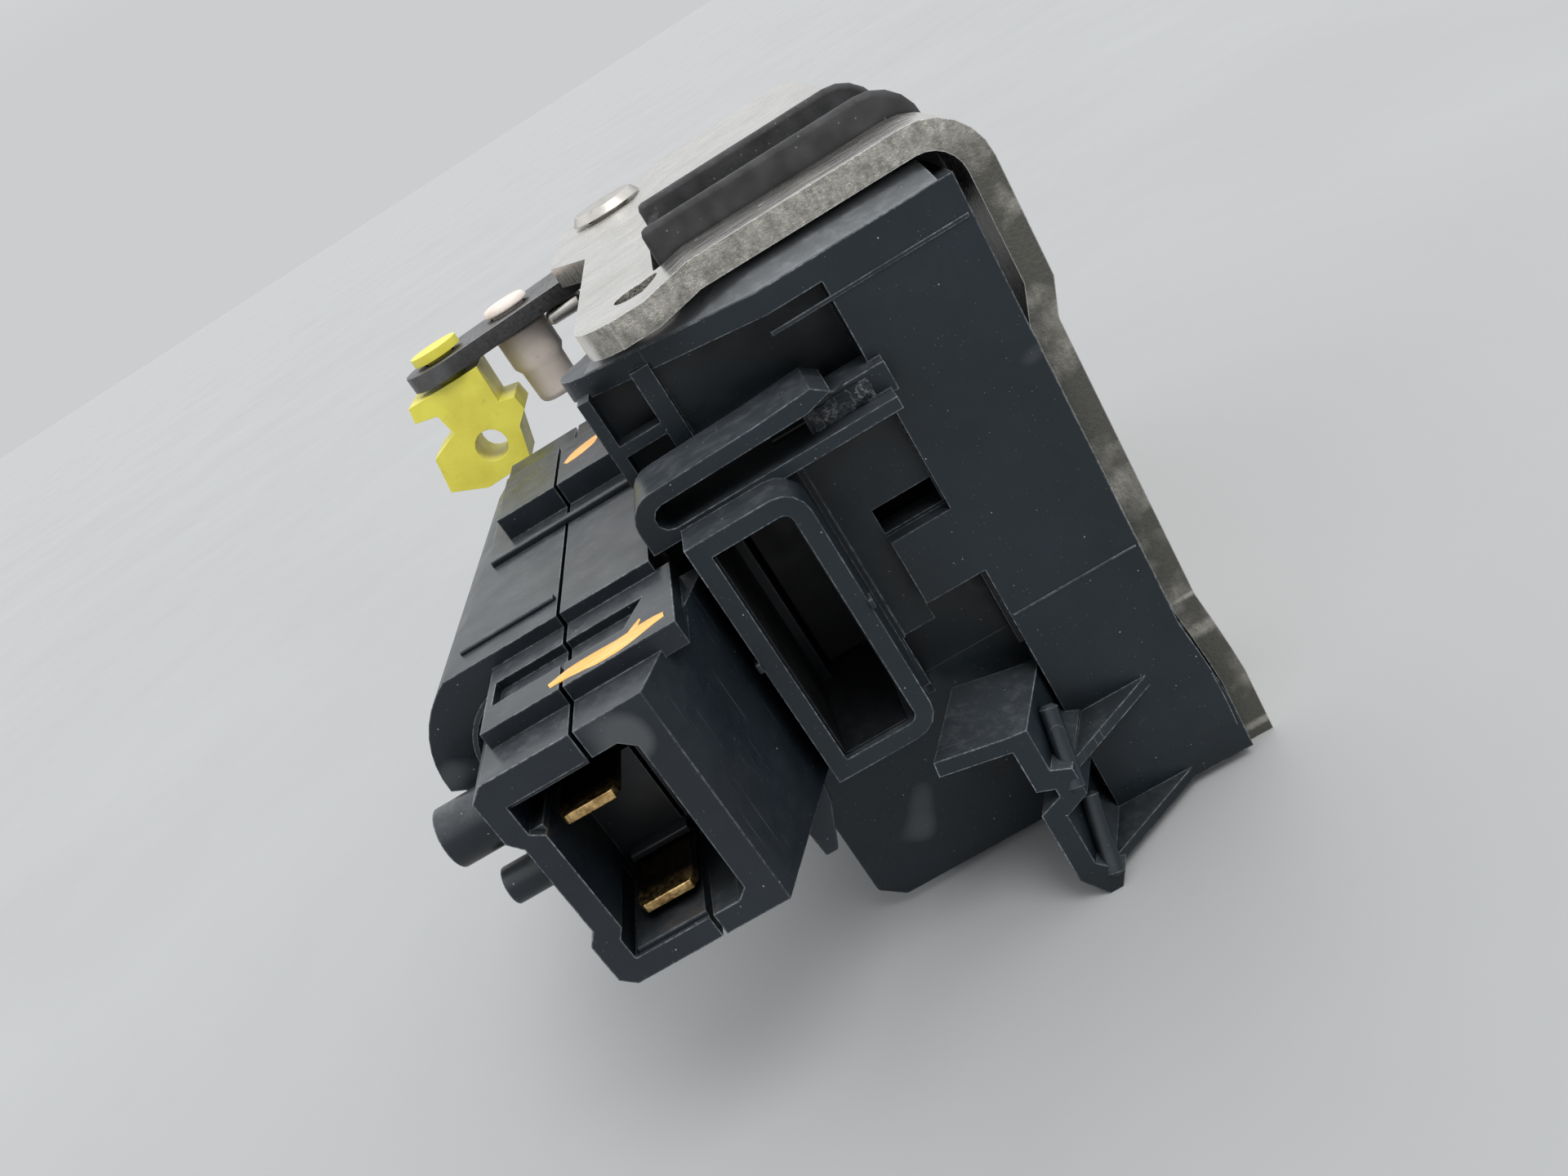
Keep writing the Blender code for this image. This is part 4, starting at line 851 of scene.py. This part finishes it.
def steel_details():
    """A threaded collar behind each door screw's hole, and a pressed ring on each rivet."""
    face = place("faceplate")[1].x
    for i, (y, z) in enumerate(DOOR_SCREWS):
        turned(
            f"screw_collar_{i}", "X", (y, z),
            [(2.45, 39.4), (2.75, 39.4), (2.9, 39.7), (2.9, 42.15), (2.45, 42.15)], "plated_steel",
        )
        per_turn, turns, pitch, radius = 8, 4, 0.6, 2.5
        thread = []
        for k in range(per_turn * turns + 1):
            angle = 2 * math.pi * k / per_turn
            out, up = radius * math.cos(angle), radius * math.sin(angle)
            thread.append((39.6 + pitch * k / per_turn, y + out, z + up))
        wire_along(f"screw_thread_{i}", thread, 0.32, "plated_steel", sides=6)
    for name, node, reach in (("claw_rivet_ring", "claw_rivet", 4.6), ("pawl_rivet_ring", "pawl_rivet", 3.0)):
        centre = middle(node)
        x = face - 0.06
        ring = ((0.52, x - 0.1), (0.58, x + 0.05), (0.70, x + 0.05), (0.76, x - 0.1))
        ring = [(reach * share, out) for share, out in ring]
        turned(name, "X", (centre.y, centre.z), ring, "plated_steel")


def lever_details():
    """The bright saddle between the outside lever and its bush."""
    block("lever_saddle", (2.6, 7.4), (78.2, 82.2), (19.3, 21.0), "plated_steel", 0.6, body="outside_lever")


def springs():
    """Wound coils in place of the CAD springs."""
    coil(
        "claw_spring_coil", "X", CLAW_PIVOT, 7.2, 0.8, 32.75, 1.5, 1.0, (2.0, 3.0),
        replaced=("claw_spring",),
    )
    coil(
        "pawl_spring_coil", "X", PAWL_PIVOT, 4.4, 0.9, 15.2, 4.6, 1.15, (6.0, 5.0),
        replaced=("pawl_spring",),
    )
    coil(
        "outside_spring_coil", "Z", OUTSIDE_PIVOT, 4.2, 0.9, 15.9, 3.6, 1.1, (4.0, 5.0),
        replaced=("outside_spring",),
    )


# ---------------------------------------------------------------- studio

def aim(thing, spot):
    way = spot - thing.location
    thing.rotation_euler = way.to_track_quat("-Z", "Y").to_euler()


def make_camera():
    turns = (CAMERA_AZIMUTH, CAMERA_ELEVATION, CAMERA_ROLL)
    azimuth, elevation, roll = (math.radians(turn) for turn in turns)
    flat = math.cos(elevation)
    ahead = Vector((math.sin(azimuth) * flat, math.cos(azimuth) * flat, -math.sin(elevation)))
    level = ahead.cross(Vector((0, 0, 1))).normalized()
    upright = level.cross(ahead)
    right = level * math.cos(roll) + upright * math.sin(roll)
    up = upright * math.cos(roll) - level * math.sin(roll)
    data = bpy.data.cameras.new("camera")
    data.sensor_width = 36.0
    data.lens = CAMERA_LENS
    data.clip_start = 0.001
    camera = bpy.data.objects.new("camera", data)
    bpy.context.collection.objects.link(camera)
    turn = Matrix((right, up, -ahead)).transposed()
    camera.matrix_world = Matrix.Translation(at(*CAMERA_PLACE)) @ turn.to_4x4()
    bpy.context.scene.camera = camera


def make_sun(name, way, strength, spread, colour):
    """A far lamp that shines from a direction, as wide as its spread in degrees."""
    data = bpy.data.lights.new(name, "SUN")
    data.energy = strength
    data.angle = math.radians(spread)
    data.color = colour
    lamp = bpy.data.objects.new(name, data)
    lamp.location = (CAD_BOX[0] + CAD_BOX[1]) / 2 + Vector(way)
    aim(lamp, (CAD_BOX[0] + CAD_BOX[1]) / 2)
    bpy.context.collection.objects.link(lamp)


def make_sky():
    """A studio that is as pale as the floor at the horizon and brighter overhead."""
    world = bpy.data.worlds.new("studio")
    world.use_nodes = True
    tree = world.node_tree
    background = tree.nodes["Background"]
    background.inputs[0].default_value = (0.97, 0.985, 1.0, 1.0)
    coordinates = tree.nodes.new("ShaderNodeTexCoord")
    axes = tree.nodes.new("ShaderNodeSeparateXYZ")
    rise = tree.nodes.new("ShaderNodeMapRange")
    rise.interpolation_type = "SMOOTHSTEP"
    for key, number in zip(("From Min", "From Max", "To Min", "To Max"), (0.16, 0.50, HORIZON, OVERHEAD)):
        rise.inputs[key].default_value = number
    tree.links.new(coordinates.outputs["Generated"], axes.inputs[0])
    tree.links.new(axes.outputs[2], rise.inputs["Value"])
    tree.links.new(rise.outputs[0], background.inputs[1])
    bpy.context.scene.world = world


def make_studio():
    make_sun("key", KEY_WAY, KEY_STRENGTH, KEY_SPREAD, (1.0, 0.985, 0.965))
    make_sky()
    level = CAD_BOX[0].z
    mesh = bpy.data.meshes.new("floor")
    sides = ((-1, -1), (1, -1), (1, 1), (-1, 1))
    mesh.from_pydata([(x * FLOOR_REACH, y * FLOOR_REACH, level) for x, y in sides], [], [(0, 1, 2, 3)])
    mesh.materials.append(floor_paint())
    floor = bpy.data.objects.new("floor", mesh)
    bpy.context.collection.objects.link(floor)
    bpy.context.scene.view_settings.view_transform = "Standard"


def main():
    make_camera()
    make_studio()
    dress_nodes()
    connector_details()
    paint_marks()
    housing_details()
    case_details()
    rear_details()
    steel_details()
    lever_details()
    springs()


main()
